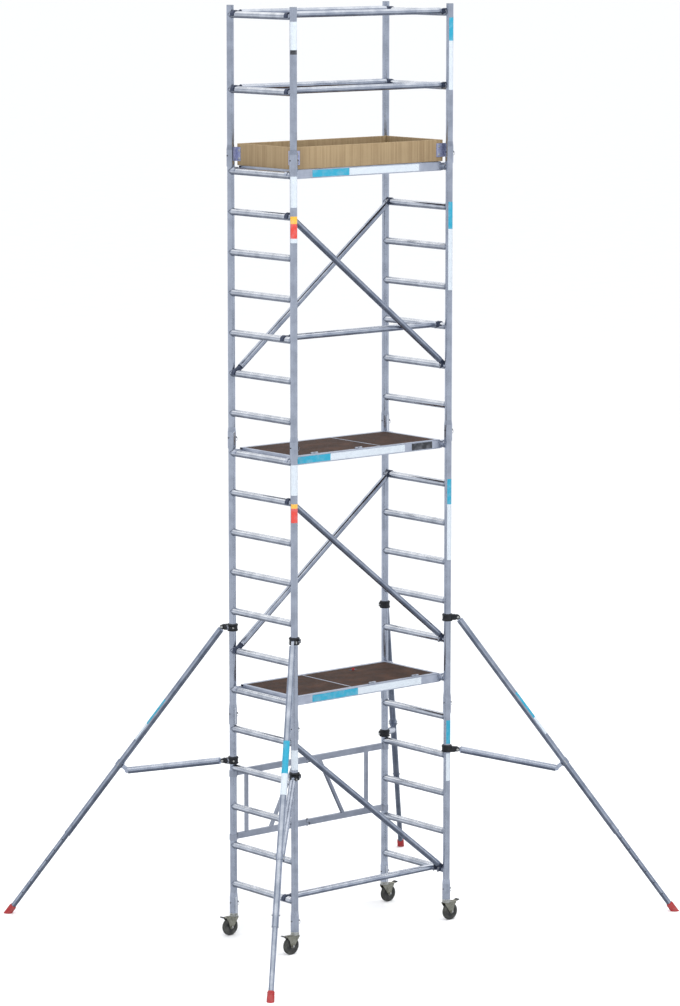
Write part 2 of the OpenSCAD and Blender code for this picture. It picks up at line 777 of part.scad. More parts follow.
castor_wheel(BL);  // back_left_wheel
castor_pedal(BL);  // back_left_pedal
castor_fork(FR);  // front_right_fork
castor_wheel(FR);  // front_right_wheel
castor_pedal(FR);  // front_right_pedal
castor_fork(BR);  // back_right_fork
castor_wheel(BR);  // back_right_wheel
castor_pedal(BR);  // back_right_pedal
stab_clamps(FL);  // front_left_clamps
stab_tube(FL);  // front_left_tube
stab_strut(FL);  // front_left_strut
stab_leg(FL);  // front_left_leg
stab_foot(FL);  // front_left_foot
stab_clamps(BL);  // back_left_clamps
stab_tube(BL);  // back_left_tube
stab_strut(BL);  // back_left_strut
stab_leg(BL);  // back_left_leg
stab_foot(BL);  // back_left_foot
stab_clamps(FR);  // front_right_clamps
stab_tube(FR);  // front_right_tube
stab_strut(FR);  // front_right_strut
stab_leg(FR);  // front_right_leg
stab_foot(FR);  // front_right_foot
stab_clamps(BR);  // back_right_clamps
stab_tube(BR);  // back_right_tube
stab_strut(BR);  // back_right_strut
stab_leg(BR);  // back_right_leg
stab_foot(BR);  // back_right_foot
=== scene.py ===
# %% [markdown]
# # A mobile tower scaffold
# The tower's tubes, decks, castors and stabilisers come from the CAD model, which fixes every size and joint.
# Blender adds what a maker sees close up: weld beads, catches, bolts, moulded tyres, labels and real finishes.
# Nothing from the CAD is moved or resized. New pieces take their places from the CAD boxes and joint axes.

# %% Load the frame
import json
from math import asin, atan2, cos, degrees, pi, radians, sin, sqrt

import bpy
from mathutils import Matrix, Vector


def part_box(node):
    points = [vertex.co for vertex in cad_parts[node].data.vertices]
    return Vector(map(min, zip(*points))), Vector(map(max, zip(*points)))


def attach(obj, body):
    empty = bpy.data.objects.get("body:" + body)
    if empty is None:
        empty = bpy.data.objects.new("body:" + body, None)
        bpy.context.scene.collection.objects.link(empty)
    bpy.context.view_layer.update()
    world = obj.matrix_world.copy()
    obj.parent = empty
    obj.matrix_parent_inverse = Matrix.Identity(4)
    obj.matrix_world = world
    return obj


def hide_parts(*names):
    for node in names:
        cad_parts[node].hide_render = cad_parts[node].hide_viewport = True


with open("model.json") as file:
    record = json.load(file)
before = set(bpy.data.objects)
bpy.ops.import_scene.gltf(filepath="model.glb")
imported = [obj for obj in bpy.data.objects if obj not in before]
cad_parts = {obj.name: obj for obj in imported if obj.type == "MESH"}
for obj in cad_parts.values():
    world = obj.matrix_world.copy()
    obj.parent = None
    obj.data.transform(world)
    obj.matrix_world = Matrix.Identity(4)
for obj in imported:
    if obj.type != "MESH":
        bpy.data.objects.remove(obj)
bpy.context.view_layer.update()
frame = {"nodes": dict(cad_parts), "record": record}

scene = bpy.context.scene
slide_axes = {joint["name"]: Vector(joint["axis"]) for joint in frame["record"]["behaviour"]["joints"]}

# %% [markdown]
# ## Sizes read from the frame
# All sizes in this lesson are millimetres, and the helpers below turn them into Blender's metres.
# The posts stand at the corners of the base frames' boxes. A deck's boards lie with their tops 37 mm above the rung
# that the deck hangs on, and there are 13 rungs from the lowest deck to the highest, which gives the rung spacing.

# %% Measure the tower
MM = 0.001


def box_mm(node):
    """Lowest and highest corner of a CAD node, in millimetres."""
    low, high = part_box(node)
    return Vector(low) / MM, Vector(high) / MM


frame_low, frame_high = box_mm("right_base_frame")
post_x = (frame_low.x + frame_high.x) / 2
post_r, rung_r, brace_r = 25, 24, 22
post_y = box_mm("post_caps")[1].y - post_r
post_top = box_mm("right_guard_frame")[1].z
board_rise = 37
board_t = 12
boards_low, boards_high = box_mm("deck_boards")
rung_pitch = (boards_high.z - boards_low.z - board_t) / 13
first_rung = boards_high.z - board_rise - 18 * rung_pitch
corners = {"front_left": (-1, -1), "back_left": (-1, 1), "front_right": (1, -1), "back_right": (1, 1)}


def rung_z(count):
    """Height of a rung's axis, counted from 1 at the bottom."""
    return first_rung + (count - 1) * rung_pitch


knee_rise, guard_rise = 560, 1071
knee_z = rung_z(19) + knee_rise
guard_z = rung_z(19) + guard_rise
decks = {"lower": (rung_z(6), 1), "middle": (rung_z(12), -1), "top": (rung_z(19), 1)}   # height, trapdoor's side
print(f"posts at {post_x:.1f} and {post_y:.1f} mm, rungs every {rung_pitch:.1f} mm")

# %% [markdown]
# ## Camera
# A long lens far from the tower keeps its posts nearly parallel. It stands off the front left corner, a little
# higher than the tower, and looks down by about nine degrees.

# %% Camera
lens = bpy.data.cameras.new("camera")
lens.lens = 142.4
lens.sensor_width = 36
lens.clip_end = 3000
look_down, look_right = 8.767, 40.15
camera = bpy.data.objects.new("camera", lens)
camera.location = (-17.828, -21.126, 7.329)
camera.rotation_euler = (radians(90 - look_down), 0, radians(-look_right))
scene.collection.objects.link(camera)
scene.camera = camera

# %% [markdown]
# ## Floor, sky and lamps
# Bare aluminium shows what stands round it. The sky is white high up, a quieter blue grey towards the horizon, pale
# just under it, where an upright post looks, and dark below. So a rung gets one bright band above and a dark
# underside, as in a white studio with darker walls. Only the camera itself sees plain white behind the tower. Two
# large soft lamps light wood, rubber and floor, and, like the floor, they don't show in the metal.

# %% One helper for nodes, one for colours


def linear(code):
    """An sRGB hex colour as linear red, green, blue and alpha."""
    channels = [int(code[i:i + 2], 16) / 255 for i in (1, 3, 5)]
    return [c / 12.92 if c <= 0.04045 else ((c + 0.055) / 1.055) ** 2.4 for c in channels] + [1]


def add(tree, kind, settings=None, stops=(), **sockets):
    """Adds a shader node with its settings, ramp colours and inputs, and returns its outputs."""
    node = tree.nodes.new("ShaderNode" + kind)
    for name, value in (settings or {}).items():
        setattr(node, name, value)
    for i, (position, colour) in enumerate(stops):
        elements = node.color_ramp.elements
        stop = elements[i] if i < 2 else elements.new(position)
        stop.position = position
        stop.color = linear(colour)
    for name, value in sockets.items():
        socket = node.inputs[int(name[1:])] if name[1:].isdigit() else node.inputs[name.replace("_", " ")]
        if isinstance(value, bpy.types.NodeSocket):
            tree.links.new(value, socket)
        else:
            socket.default_value = value
    return node.outputs


# %% Sky
sky = bpy.data.worlds.new("studio_sky")
scene.world = sky
sky.use_nodes = True
sky.node_tree.nodes.clear()
towards = add(sky.node_tree, "TexCoord")["Generated"]
elevation = add(sky.node_tree, "SeparateXYZ", Vector=towards)["Z"]
height = add(sky.node_tree, "MapRange", i0=elevation, i1=-1.0, i2=1.0)[0]
studio = add(
    sky.node_tree, "ValToRGB", Fac=height,
    stops=((0.0, "#6A6F79"), (0.27, "#858A94"), (0.4, "#D2D6DE"), (0.47, "#D6DAE2"), (0.56, "#B0B5BF"),
           (0.7, "#B8BDC7"), (0.78, "#FFFFFF"), (0.95, "#FFFFFF"), (1.0, "#C3C8D1")))["Color"]
light = add(sky.node_tree, "Background", Color=studio, Strength=1.25)[0]
plain = add(sky.node_tree, "Background", Color=linear("#FFFFFF"), Strength=1.0)[0]
seen = add(sky.node_tree, "LightPath")["Is Camera Ray"]
mixed = add(sky.node_tree, "MixShader", i0=seen, i1=light, i2=plain)[0]
add(sky.node_tree, "OutputWorld", Surface=mixed)
scene.view_settings.view_transform = "Standard"
print("sky:", len(sky.node_tree.nodes), "nodes")

# %% Lamps
for name, place, width, power in (("lamp_left", (-9, -7, 9), 7, 700), ("lamp_top", (2, -3, 14), 8, 900)):
    lamp = bpy.data.lights.new(name, "AREA")
    lamp.shape = "SQUARE"
    lamp.size = width
    lamp.energy = power
    holder = bpy.data.objects.new(name, lamp)
    holder.location = place
    holder.rotation_euler = (Vector((0, 0, 3)) - Vector(place)).to_track_quat("-Z", "Y").to_euler()
    holder.visible_glossy = False
    scene.collection.objects.link(holder)
    print(f"{name}: {power} W over {width} m")

# %% [markdown]
# ## Small helpers
# Modelling by hand is a rhythm: add a primitive, open edit mode on a few faces, shape them, close it. The helpers
# are that rhythm. `open_on` selects faces or edges by a test on their place, in millimetres, and their direction.

# %% Selecting and naming


def deselect():
    """Nothing selected, in object mode, because a new primitive would share its operators with what is."""
    if bpy.context.object and bpy.context.object.mode != "OBJECT":
        bpy.ops.object.mode_set(mode="OBJECT")
    bpy.ops.object.select_all(action="DESELECT")


def only(piece):
    """One piece selected and active."""
    deselect()
    piece.select_set(True)
    bpy.context.view_layer.objects.active = piece


def named(name):
    """The piece that an operator has just added, with its place put into its mesh."""
    piece = bpy.context.active_object
    piece.name = name
    piece.data.name = name
    bpy.ops.object.transform_apply(location=True, rotation=True, scale=True)
    return piece


def open_on(piece, test, kind="FACE"):
    """Edit mode with the faces (centre, normal) or edges (middle, direction) that pass the test."""
    only(piece)
    bpy.ops.object.mode_set(mode="EDIT")
    bpy.ops.mesh.select_mode(type=kind)
    bpy.ops.mesh.select_all(action="DESELECT")
    bpy.ops.object.mode_set(mode="OBJECT")
    mesh = piece.data
    if kind == "FACE":
        for face in mesh.polygons:
            face.select = test(face.center / MM, face.normal)
    else:
        for edge in mesh.edges:
            start, end = (mesh.vertices[i].co for i in edge.vertices)
            edge.select = test((start + end) / 2 / MM, (end - start).normalized())
    bpy.ops.object.mode_set(mode="EDIT")


def close():
    """Back to object mode."""
    bpy.ops.object.mode_set(mode="OBJECT")


def bevelled(piece, width, segments=2, angle=30):
    """Rounds a piece's sharp edges."""
    only(piece)
    rounding = piece.modifiers.new("rounding", "BEVEL")
    rounding.width = width * MM
    rounding.segments = segments
    rounding.limit_method = "ANGLE"
    rounding.angle_limit = radians(angle)
    bpy.ops.object.modifier_apply(modifier=rounding.name)
    return piece


def thickened(piece, thickness):
    """Gives a sheet its thickness, on the side that its faces look to."""
    only(piece)
    wall = piece.modifiers.new("wall", "SOLIDIFY")
    wall.thickness = thickness * MM
    wall.offset = 1
    bpy.ops.object.modifier_apply(modifier=wall.name)
    return piece


# %% Primitives and the lathe


def cylinder(name, radius, depth, vertices=24, at=(0, 0, 0), turn=(0, 0, 0), ends="NGON"):
    """A cylinder at its place, ready to be shaped."""
    deselect()
    bpy.ops.mesh.primitive_cylinder_add(
        vertices=vertices, radius=radius * MM, depth=depth * MM, location=Vector(at) * MM,
        rotation=[radians(angle) for angle in turn], end_fill_type=ends)
    return named(name)


def block(name, size, at=(0, 0, 0)):
    """A cube with the given sides, ready to be shaped."""
    deselect()
    bpy.ops.mesh.primitive_cube_add(size=1, location=Vector(at) * MM, scale=Vector(size) * MM)
    return named(name)


def turned(name, outline, steps=32):
    """A lathe: spins a closed outline of (radius, height) points round the Z axis."""
    deselect()
    bpy.ops.mesh.primitive_circle_add(vertices=len(outline), radius=0.01)
    piece = named(name)
    for vertex, (radius, rise) in zip(piece.data.vertices, outline):
        vertex.co = (radius * MM, 0, rise * MM)
    bpy.ops.object.mode_set(mode="EDIT")
    bpy.ops.mesh.select_all(action="SELECT")
    bpy.ops.mesh.spin(steps=steps, angle=2 * pi, center=(0, 0, 0), axis=(0, 0, 1))
    bpy.ops.mesh.select_all(action="SELECT")
    bpy.ops.mesh.remove_doubles(threshold=0.00001)
    bpy.ops.mesh.delete_loose()
    bpy.ops.mesh.select_all(action="SELECT")
    bpy.ops.mesh.normals_make_consistent(inside=False)
    close()
    return piece


# %% Placing and repeating


def to(x, y, z):
    """A move in millimetres, as a matrix."""
    return Matrix.Translation(Vector((x, y, z)) * MM)


def turn(angle, axis):
    """A turn in degrees about X, Y or Z, as a matrix."""
    return Matrix.Rotation(radians(angle), 4, axis)


def handed(side):
    """Turns a shape made for the right hand side over to the left when side is -1."""
    return Matrix.Diagonal((side, 1, 1, 1))


def copy_at(model, matrix):
    """A copy with its own mesh, at its place."""
    mesh = model.data.copy()
    mesh.transform(matrix)
    if matrix.determinant() < 0:
        mesh.flip_normals()
    piece = bpy.data.objects.new(model.name, mesh)
    scene.collection.objects.link(piece)
    return piece


def joined(name, parts):
    """Several parts made into one piece."""
    deselect()
    for part in parts:
        part.select_set(True)
    bpy.context.view_layer.objects.active = parts[0]
    if len(parts) > 1:
        bpy.ops.object.join()
    piece = bpy.context.active_object
    piece.name = name
    piece.data.name = name
    return piece


def repeated(name, model, matrices):
    """One piece made of a copy of the model at each place. The model itself goes."""
    piece = joined(name, [copy_at(model, matrix) for matrix in matrices])
    bpy.data.objects.remove(model)
    return piece


# %% Fitting a finished piece to the tower
triangles = {}


def fitted(piece, material, body="tower", replaces=(), smooth=35):
    """Gives a piece its finish, shades it and lets it ride on its body."""
    piece.data.materials.clear()
    piece.data.materials.append(material)
    for face in piece.data.polygons:
        face.material_index = 0
    only(piece)
    bpy.ops.object.shade_smooth_by_angle(angle=radians(smooth))
    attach(piece, body)
    if replaces:
        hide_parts(*replaces)
    piece.data.calc_loop_triangles()
    triangles[piece.name] = len(piece.data.loop_triangles)
    return piece


# %% The studio floor
deselect()
bpy.ops.mesh.primitive_plane_add(size=2400)
floor = named("studio_floor")
floor_paint = bpy.data.materials.new("matt_white_floor")
floor_paint.use_nodes = True
floor_paint.node_tree.nodes.clear()
floor_grain = add(
    floor_paint.node_tree, "TexNoise", Vector=add(floor_paint.node_tree, "TexCoord")["Object"], Scale=3.0)["Fac"]
floor_tone = add(
    floor_paint.node_tree, "ValToRGB", Fac=floor_grain, stops=((0.3, "#FAFAFA"), (0.7, "#FCFCFC")))["Color"]
floor_shader = add(floor_paint.node_tree, "BsdfPrincipled", Base_Color=floor_tone, Roughness=0.9)[0]
add(floor_paint.node_tree, "OutputMaterial", Surface=floor_shader)
floor.data.materials.append(floor_paint)
floor.visible_glossy = False

# %% [markdown]
# ## Finishes
# Each finish is named for the real material and for how its surface was made. Patterns follow Object coordinates,
# which are metres, so a scale of 1000 / n gives features about n mm apart.
#
# ### Extruded aluminium tube
# Posts, rungs and braces are 6082 alloy pushed hot through a die. It leaves faint lines along the tube, and years
# outdoors leave a thin bluish grey oxide with cloudy patches. Die lines are really some tenths of a millimetre
# apart; here they are 2 mm apart so that a picture can show them. Metal keeps the default IOR.

# %% Aluminium drawn along one axis


def finish(name):
    """An empty material, its tree, and the Object coordinates that its patterns follow."""
    material = bpy.data.materials.new(name)
    material.use_nodes = True
    material.node_tree.nodes.clear()
    return material, material.node_tree, add(material.node_tree, "TexCoord")["Object"]


def weathered(tree, place, drawn):
    """What the die and the years leave: lines along the drawn coordinates, a cloudy tone, and scuffs."""
    lines = add(tree, "TexNoise", Vector=drawn, Scale=1000 / 2, Detail=2.0)["Fac"]
    clouds = add(tree, "TexNoise", Vector=place, Scale=1000 / 90, Detail=4.0)["Fac"]
    scuffs = add(tree, "TexNoise", Vector=place, Scale=1000 / 12, Detail=5.0)["Fac"]
    tone = add(tree, "Mix", {"data_type": "FLOAT"}, i0=0.35, i2=clouds, i3=lines)[0]
    return lines, tone, scuffs


def extruded(name, pale, dark, roughness, squeeze=(0.01, 1, 1), lean=(0, 0, 0)):
    """Bare tube. The die lines run along the squeezed axis, after the coordinates are turned by the lean."""
    material, tree, place = finish(name)
    turned_place = add(tree, "Mapping", Vector=place, Rotation=lean)[0]
    drawn = add(tree, "Mapping", Vector=turned_place, Scale=squeeze)[0]
    lines, tone, scuffs = weathered(tree, place, drawn)
    colour = add(tree, "ValToRGB", Fac=tone, stops=((0.4, dark), (0.6, pale)))["Color"]
    shine = add(tree, "MapRange", i0=scuffs, i1=0.3, i2=0.7, i3=roughness - 0.03, i4=roughness + 0.03)[0]
    relief = add(tree, "Bump", Height=lines, Distance=0.015 * MM, Strength=0.5)[0]
    shader = add(tree, "BsdfPrincipled", Base_Color=colour, Metallic=1.0, Roughness=shine, Normal=relief)[0]
    add(tree, "OutputMaterial", Surface=shader)
    return material


gate_alloy = extruded("extruded_aluminium_gate", "#B9BEC8", "#A4A9B4", 0.38)
deck_alloy = extruded("extruded_aluminium_deck", "#D6DBE6", "#C0C6D2", 0.38)
brace_alloy = extruded("extruded_aluminium_brace", "#D2D7E0", "#AFB6C4", 0.2)
strut_alloy = extruded("extruded_aluminium_strut", "#C6CCD8", "#A7AEBC", 0.22, squeeze=(0.3, 0.3, 0.3))

# %% [markdown]
# ### Aluminium on the slant
# The diagonals lean down to the right in front and to the left behind. Multiplying X by the side of the tower, which
# is -1 in front and 1 behind, makes both lean the same way, and one turn then lays the die lines along the tube.

# %% Aluminium of the diagonals and stabilisers


def leaning(name, lean):
    """Bare tube whose axis leans by an angle in XZ, mirrored from the front to the back of the tower."""
    material = extruded(name, "#C2C8D3", "#A0A8B7", 0.22, lean=(0, lean, 0))
    tree = material.node_tree
    place = next(node for node in tree.nodes if node.type == "TEX_COORD").outputs["Object"]
    parts = add(tree, "SeparateXYZ", Vector=place)
    side = add(tree, "Math", {"operation": "SIGN"}, i0=parts["Y"])[0]
    folded = add(tree, "Math", {"operation": "MULTIPLY"}, i0=parts["X"], i1=side)[0]
    mirrored = add(tree, "CombineXYZ", X=folded, Y=parts["Y"], Z=parts["Z"])[0]
    for node in tree.nodes:
        if node.type == "MAPPING" and tuple(node.inputs["Scale"].default_value) == (1, 1, 1):
            tree.links.new(mirrored, node.inputs["Vector"])
    return material


diagonal_alloy = leaning("extruded_aluminium_diagonal", atan2(4 * rung_pitch, 2 * post_x))


def stabiliser_axis(corner):
    """Direction down a stabiliser's tube, from its sliding joint."""
    return slide_axes[f"{corner}_leg_slide"].normalized()


stabiliser_alloy = {
    corner: extruded(
        f"extruded_aluminium_{corner}_stabiliser", "#C3C9D4", "#9FA7B5", 0.18, squeeze=(1, 1, 0.01),
        lean=stabiliser_axis(corner).rotation_difference(Vector((0, 0, 1))).to_euler())
    for corner in corners}

# %% [markdown]
# ### Ladder frames
# A ladder frame is one node with two kinds of tube: plain posts along Z and ribbed rungs along Y. How far a point
# lies from the tower's middle tells them apart. The rungs get a paler tint than the posts: painted highlight for the
# bright overhead light that level tubes catch. The ribs stop a boot from slipping: they are a wave of the angle
# round the nearest rung's axis.

# %% Ladder aluminium


def ladder_metal(name, first, pitch):
    """Posts with die lines along Z and ribbed rungs along Y, the lowest at the height `first`."""
    material, tree, place = finish(name)
    parts = add(tree, "SeparateXYZ", Vector=place)
    across = add(tree, "Math", {"operation": "ABSOLUTE"}, i0=parts["Y"])[0]
    on_rung = add(tree, "Math", {"operation": "LESS_THAN"}, i0=across, i1=(post_y - post_r - 3) * MM)[0]
    along_post = add(tree, "Mapping", Vector=place, Scale=(1, 1, 0.01))[0]
    along_rung = add(tree, "Mapping", Vector=place, Scale=(1, 0.01, 1))[0]
    drawn = add(tree, "Mix", {"data_type": "VECTOR"}, i0=on_rung, i4=along_post, i5=along_rung)[1]
    lines, tone, scuffs = weathered(tree, place, drawn)
    post_tint = add(tree, "ValToRGB", Fac=tone, stops=((0.4, "#A9AFBA"), (0.6, "#BDC3CE")))["Color"]
    # The rungs' paler tint is painted highlight: level tubes catch the bright overhead light, and the posts don't.
    rung_tint_painted_highlight = add(tree, "ValToRGB", Fac=tone, stops=((0.4, "#C5C9D0"), (0.6, "#E6E9EE")))["Color"]
    colour = add(tree, "Mix", {"data_type": "RGBA"}, i0=on_rung, i6=post_tint, i7=rung_tint_painted_highlight)[2]
    shine = add(tree, "MapRange", i0=scuffs, i1=0.3, i2=0.7, i3=0.2, i4=0.26)[0]
    # Place round the nearest rung's axis: outwards from the plane of the posts, and above the axis
    far = add(tree, "Math", {"operation": "ABSOLUTE"}, i0=parts["X"])[0]
    outward = add(tree, "Math", {"operation": "SUBTRACT"}, i0=far, i1=post_x * MM)[0]
    risen = add(tree, "Math", {"operation": "SUBTRACT"}, i0=parts["Z"], i1=(first - pitch / 2) * MM)[0]
    in_bay = add(tree, "Math", {"operation": "FLOORED_MODULO"}, i0=risen, i1=pitch * MM)[0]
    above = add(tree, "Math", {"operation": "SUBTRACT"}, i0=in_bay, i1=pitch / 2 * MM)[0]
    angle = add(tree, "Math", {"operation": "ARCTAN2"}, i0=above, i1=outward)[0]
    rib_count = round(2 * pi * rung_r / 4)
    wave = add(tree, "Math", {"operation": "SINE"},
               i0=add(tree, "Math", {"operation": "MULTIPLY"}, i0=angle, i1=rib_count)[0])[0]
    ribs = add(tree, "Math", {"operation": "MULTIPLY"}, i0=wave, i1=on_rung)[0]
    height = add(tree, "Math", {"operation": "MULTIPLY_ADD"}, i0=lines, i1=0.2, i2=ribs)[0]
    relief = add(tree, "Bump", Height=height, Distance=0.03 * MM, Strength=0.5)[0]
    shader = add(tree, "BsdfPrincipled", Base_Color=colour, Metallic=1.0, Roughness=shine, Normal=relief)[0]
    add(tree, "OutputMaterial", Surface=shader)
    return material


ladder_alloy = ladder_metal("extruded_aluminium_ladder", first_rung, rung_pitch)
guard_alloy = ladder_metal("extruded_aluminium_guard_ladder", knee_z, guard_z - knee_z)

# %% [markdown]
# ### Weld metal, castings and plated steel
# A weld bead froze from liquid, so it is rougher than the tube. The hooks are sand castings with a dark blue grey
# powder coat, and the stabilisers' couplers are coated black. Pressed steel on the castors is zinc plated, and its
# crystals show as soft patches about 6 mm wide.

# %% Cast, coated and plated metals


def grained(name, pale, dark, grain_mm, metallic, roughness, depth_mm):
    """A cast, coated or welded surface: cloudy tone over a fine sandy relief."""
    material, tree, place = finish(name)
    clouds = add(tree, "TexNoise", Vector=place, Scale=1000 / (12 * grain_mm), Detail=4.0)["Fac"]
    grain = add(tree, "TexNoise", Vector=place, Scale=1000 / grain_mm, Detail=2.0)["Fac"]
    colour = add(tree, "ValToRGB", Fac=clouds, stops=((0.35, dark), (0.65, pale)))["Color"]
    shine = add(tree, "MapRange", i0=clouds, i1=0.3, i2=0.7, i3=roughness - 0.06, i4=roughness + 0.1)[0]
    relief = add(tree, "Bump", Height=grain, Distance=depth_mm * MM, Strength=0.5)[0]
    shader = add(tree, "BsdfPrincipled", Base_Color=colour, Metallic=metallic, Roughness=shine, Normal=relief)[0]
    add(tree, "OutputMaterial", Surface=shader)
    return material


def zinc_plated(name, pale, dark):
    """Steel with plated zinc: crystals as soft cells, under patches of grime."""
    material, tree, place = finish(name)
    cells = add(tree, "TexVoronoi", Vector=place, Scale=1000 / 6)["Color"]
    crystal = add(tree, "SeparateColor", Color=cells)[0]
    grime = add(tree, "TexNoise", Vector=place, Scale=1000 / 25, Detail=4.0)["Fac"]
    tone = add(tree, "Mix", {"data_type": "FLOAT"}, i0=0.3, i2=grime, i3=crystal)[0]
    colour = add(tree, "ValToRGB", Fac=tone, stops=((0.3, dark), (0.65, pale)))["Color"]
    shine = add(tree, "MapRange", i0=crystal, i3=0.35, i4=0.5)[0]
    shader = add(tree, "BsdfPrincipled", Base_Color=colour, Metallic=0.9, Roughness=shine)[0]
    add(tree, "OutputMaterial", Surface=shader)
    return material


weld_metal = grained("welded_aluminium_bead", "#B9BEC8", "#8E95A3", 1.5, 1.0, 0.4, 0.15)
claw_coat = grained("powder_coated_casting", "#4A5266", "#343B4C", 1.2, 0.5, 0.42, 0.12)
coupler_coat = grained("black_coated_coupler", "#26282C", "#131517", 1.5, 0.2, 0.42, 0.15)
pin_steel = grained("blackened_pin_steel", "#4B4E55", "#2E3036", 1.0, 0.85, 0.4, 0.05)
spring_steel = grained("bright_spring_steel", "#B9BCC2", "#8B8F97", 1.0, 1.0, 0.28, 0.03)
clip_steel = zinc_plated("blue_zinc_plated_clip", "#C9CDE6", "#A0A6C6")
fork_zinc = zinc_plated("yellow_zinc_plated_fork", "#A9A798", "#807F72")
nut_zinc = zinc_plated("bright_zinc_plated_nut", "#D5D6D2", "#A3A49F")

# %% [markdown]
# ### Rubber, plastic and vinyl
# Tyres are black rubber gone grey green with dust. The hubs are moulded nylon, the feet red rubber, the caps grey
# polyethylene. The labels are vinyl film: flat colour, slightly glossy, with scuffs where the tube shows through.

# %% Moulded and printed surfaces


def moulded(name, pale, dark, grain_mm, roughness, depth_mm, dust="#8C8B84", dust_share=0.25):
    """Rubber or plastic from a mould: fine grain, with dust in patches."""
    material, tree, place = finish(name)
    clouds = add(tree, "TexNoise", Vector=place, Scale=1000 / 40, Detail=5.0)["Fac"]
    grain = add(tree, "TexNoise", Vector=place, Scale=1000 / grain_mm, Detail=3.0)["Fac"]
    body = add(tree, "ValToRGB", Fac=grain, stops=((0.35, dark), (0.65, pale)))["Color"]
    dusty = add(tree, "MapRange", i0=clouds, i1=0.45, i2=0.7, i3=0.0, i4=dust_share)[0]
    colour = add(tree, "Mix", {"data_type": "RGBA"}, i0=dusty, i6=body, i7=linear(dust))[2]
    shine = add(tree, "MapRange", i0=clouds, i1=0.3, i2=0.7, i3=roughness - 0.06, i4=roughness + 0.12)[0]
    relief = add(tree, "Bump", Height=grain, Distance=depth_mm * MM, Strength=0.4)[0]
    shader = add(tree, "BsdfPrincipled", Base_Color=colour, Roughness=shine, Normal=relief)[0]
    add(tree, "OutputMaterial", Surface=shader)
    return material


tyre_rubber = moulded("dusty_tyre_rubber", "#3E3F3C", "#30312E", 1.5, 0.7, 0.15, "#6B6C66", 0.4)
hub_nylon = moulded("moulded_black_hub_nylon", "#2E2F2E", "#242524", 2.0, 0.45, 0.05)
foot_rubber = moulded("moulded_red_rubber", "#B0262A", "#8E1D21", 1.5, 0.6, 0.12)
cap_plastic = moulded("moulded_grey_polyethylene", "#8D929B", "#7A7F88", 1.5, 0.45, 0.05)
tread_plastic = moulded("moulded_black_nylon", "#2A2B2C", "#1C1D1E", 1.5, 0.5, 0.1)
vinyl = {
    colour: moulded(f"{colour}_vinyl_label", pale, dark, 6.0, 0.35, 0.01, "#A9ADB6", 0.2)
    for colour, pale, dark in (
        ("cyan", "#2497B4", "#1C8BA8"), ("white", "#C6CED5", "#B9C2CA"), ("yellow", "#E6B13C", "#DCA42F"),
        ("red", "#D0483D", "#C43C33"), ("black", "#2A2C30", "#222428"))}

# %% [markdown]
# ### Plywood decks
# The boards are birch plywood with a brown phenolic film, hot pressed against a wire mesh that leaves a raised
# grid. The wires are really 2.5 mm apart; the grid is drawn 5 mm wide. Boots wear the film to a paler brown and
# leave mortar dust. The trapdoors' hinge leaves stand above the board, so their height tells metal from plywood.

# %% Film-faced plywood
phenolic_plywood, tree, place = finish("film_faced_plywood")
parts = add(tree, "SeparateXYZ", Vector=place)
risen = add(tree, "Math", {"operation": "SUBTRACT"}, i0=parts["Z"], i1=first_rung * MM)[0]
in_bay = add(tree, "Math", {"operation": "FLOORED_MODULO"}, i0=risen, i1=rung_pitch * MM)[0]
is_leaf = add(tree, "Math", {"operation": "GREATER_THAN"}, i0=in_bay, i1=(board_rise + 0.2) * MM)[0]
grid = add(
    tree, "TexVoronoi", {"feature": "DISTANCE_TO_EDGE"}, Vector=place, Scale=1000 / 5, Randomness=0.0)["Distance"]
wire = add(tree, "MapRange", i0=grid, i1=0.0, i2=0.15, i3=1.0, i4=0.0)[0]
wear = add(tree, "TexNoise", Vector=place, Scale=1000 / 120, Detail=6.0)["Fac"]
dust = add(tree, "TexNoise", Vector=place, Scale=1000 / 15, Detail=6.0)["Fac"]
tone = add(tree, "Mix", {"data_type": "FLOAT"}, i0=0.4, i2=wear, i3=dust)[0]
film = add(tree, "ValToRGB", Fac=tone, stops=((0.36, "#2F1E14"), (0.52, "#3D281B"), (0.68, "#54392A")))["Color"]
colour = add(tree, "Mix", {"data_type": "RGBA"}, i0=is_leaf, i6=film, i7=linear("#B9BFC9"))[2]
shine = add(tree, "MapRange", i0=dust, i1=0.3, i2=0.7, i3=0.55, i4=0.75)[0]
relief = add(tree, "Bump", Height=wire, Distance=0.3 * MM, Strength=0.6)[0]
shader = add(
    tree, "BsdfPrincipled", Base_Color=colour, Metallic=is_leaf, Roughness=shine, Specular_IOR_Level=0.2,
    Normal=relief)[0]
add(tree, "OutputMaterial", Surface=shader)

# %% [markdown]
# ### Toe boards
# The toe boards are cut across laminated softwood sheet, so the grain stands upright on their faces: dark late wood
# and pale early wood 10 to 20 mm apart. Weather turns it a greyish tan. The noise is drawn out along Z, and the same
# finish suits the sides and the ends, because X and Y both cross the grain.

# %% Weathered softwood


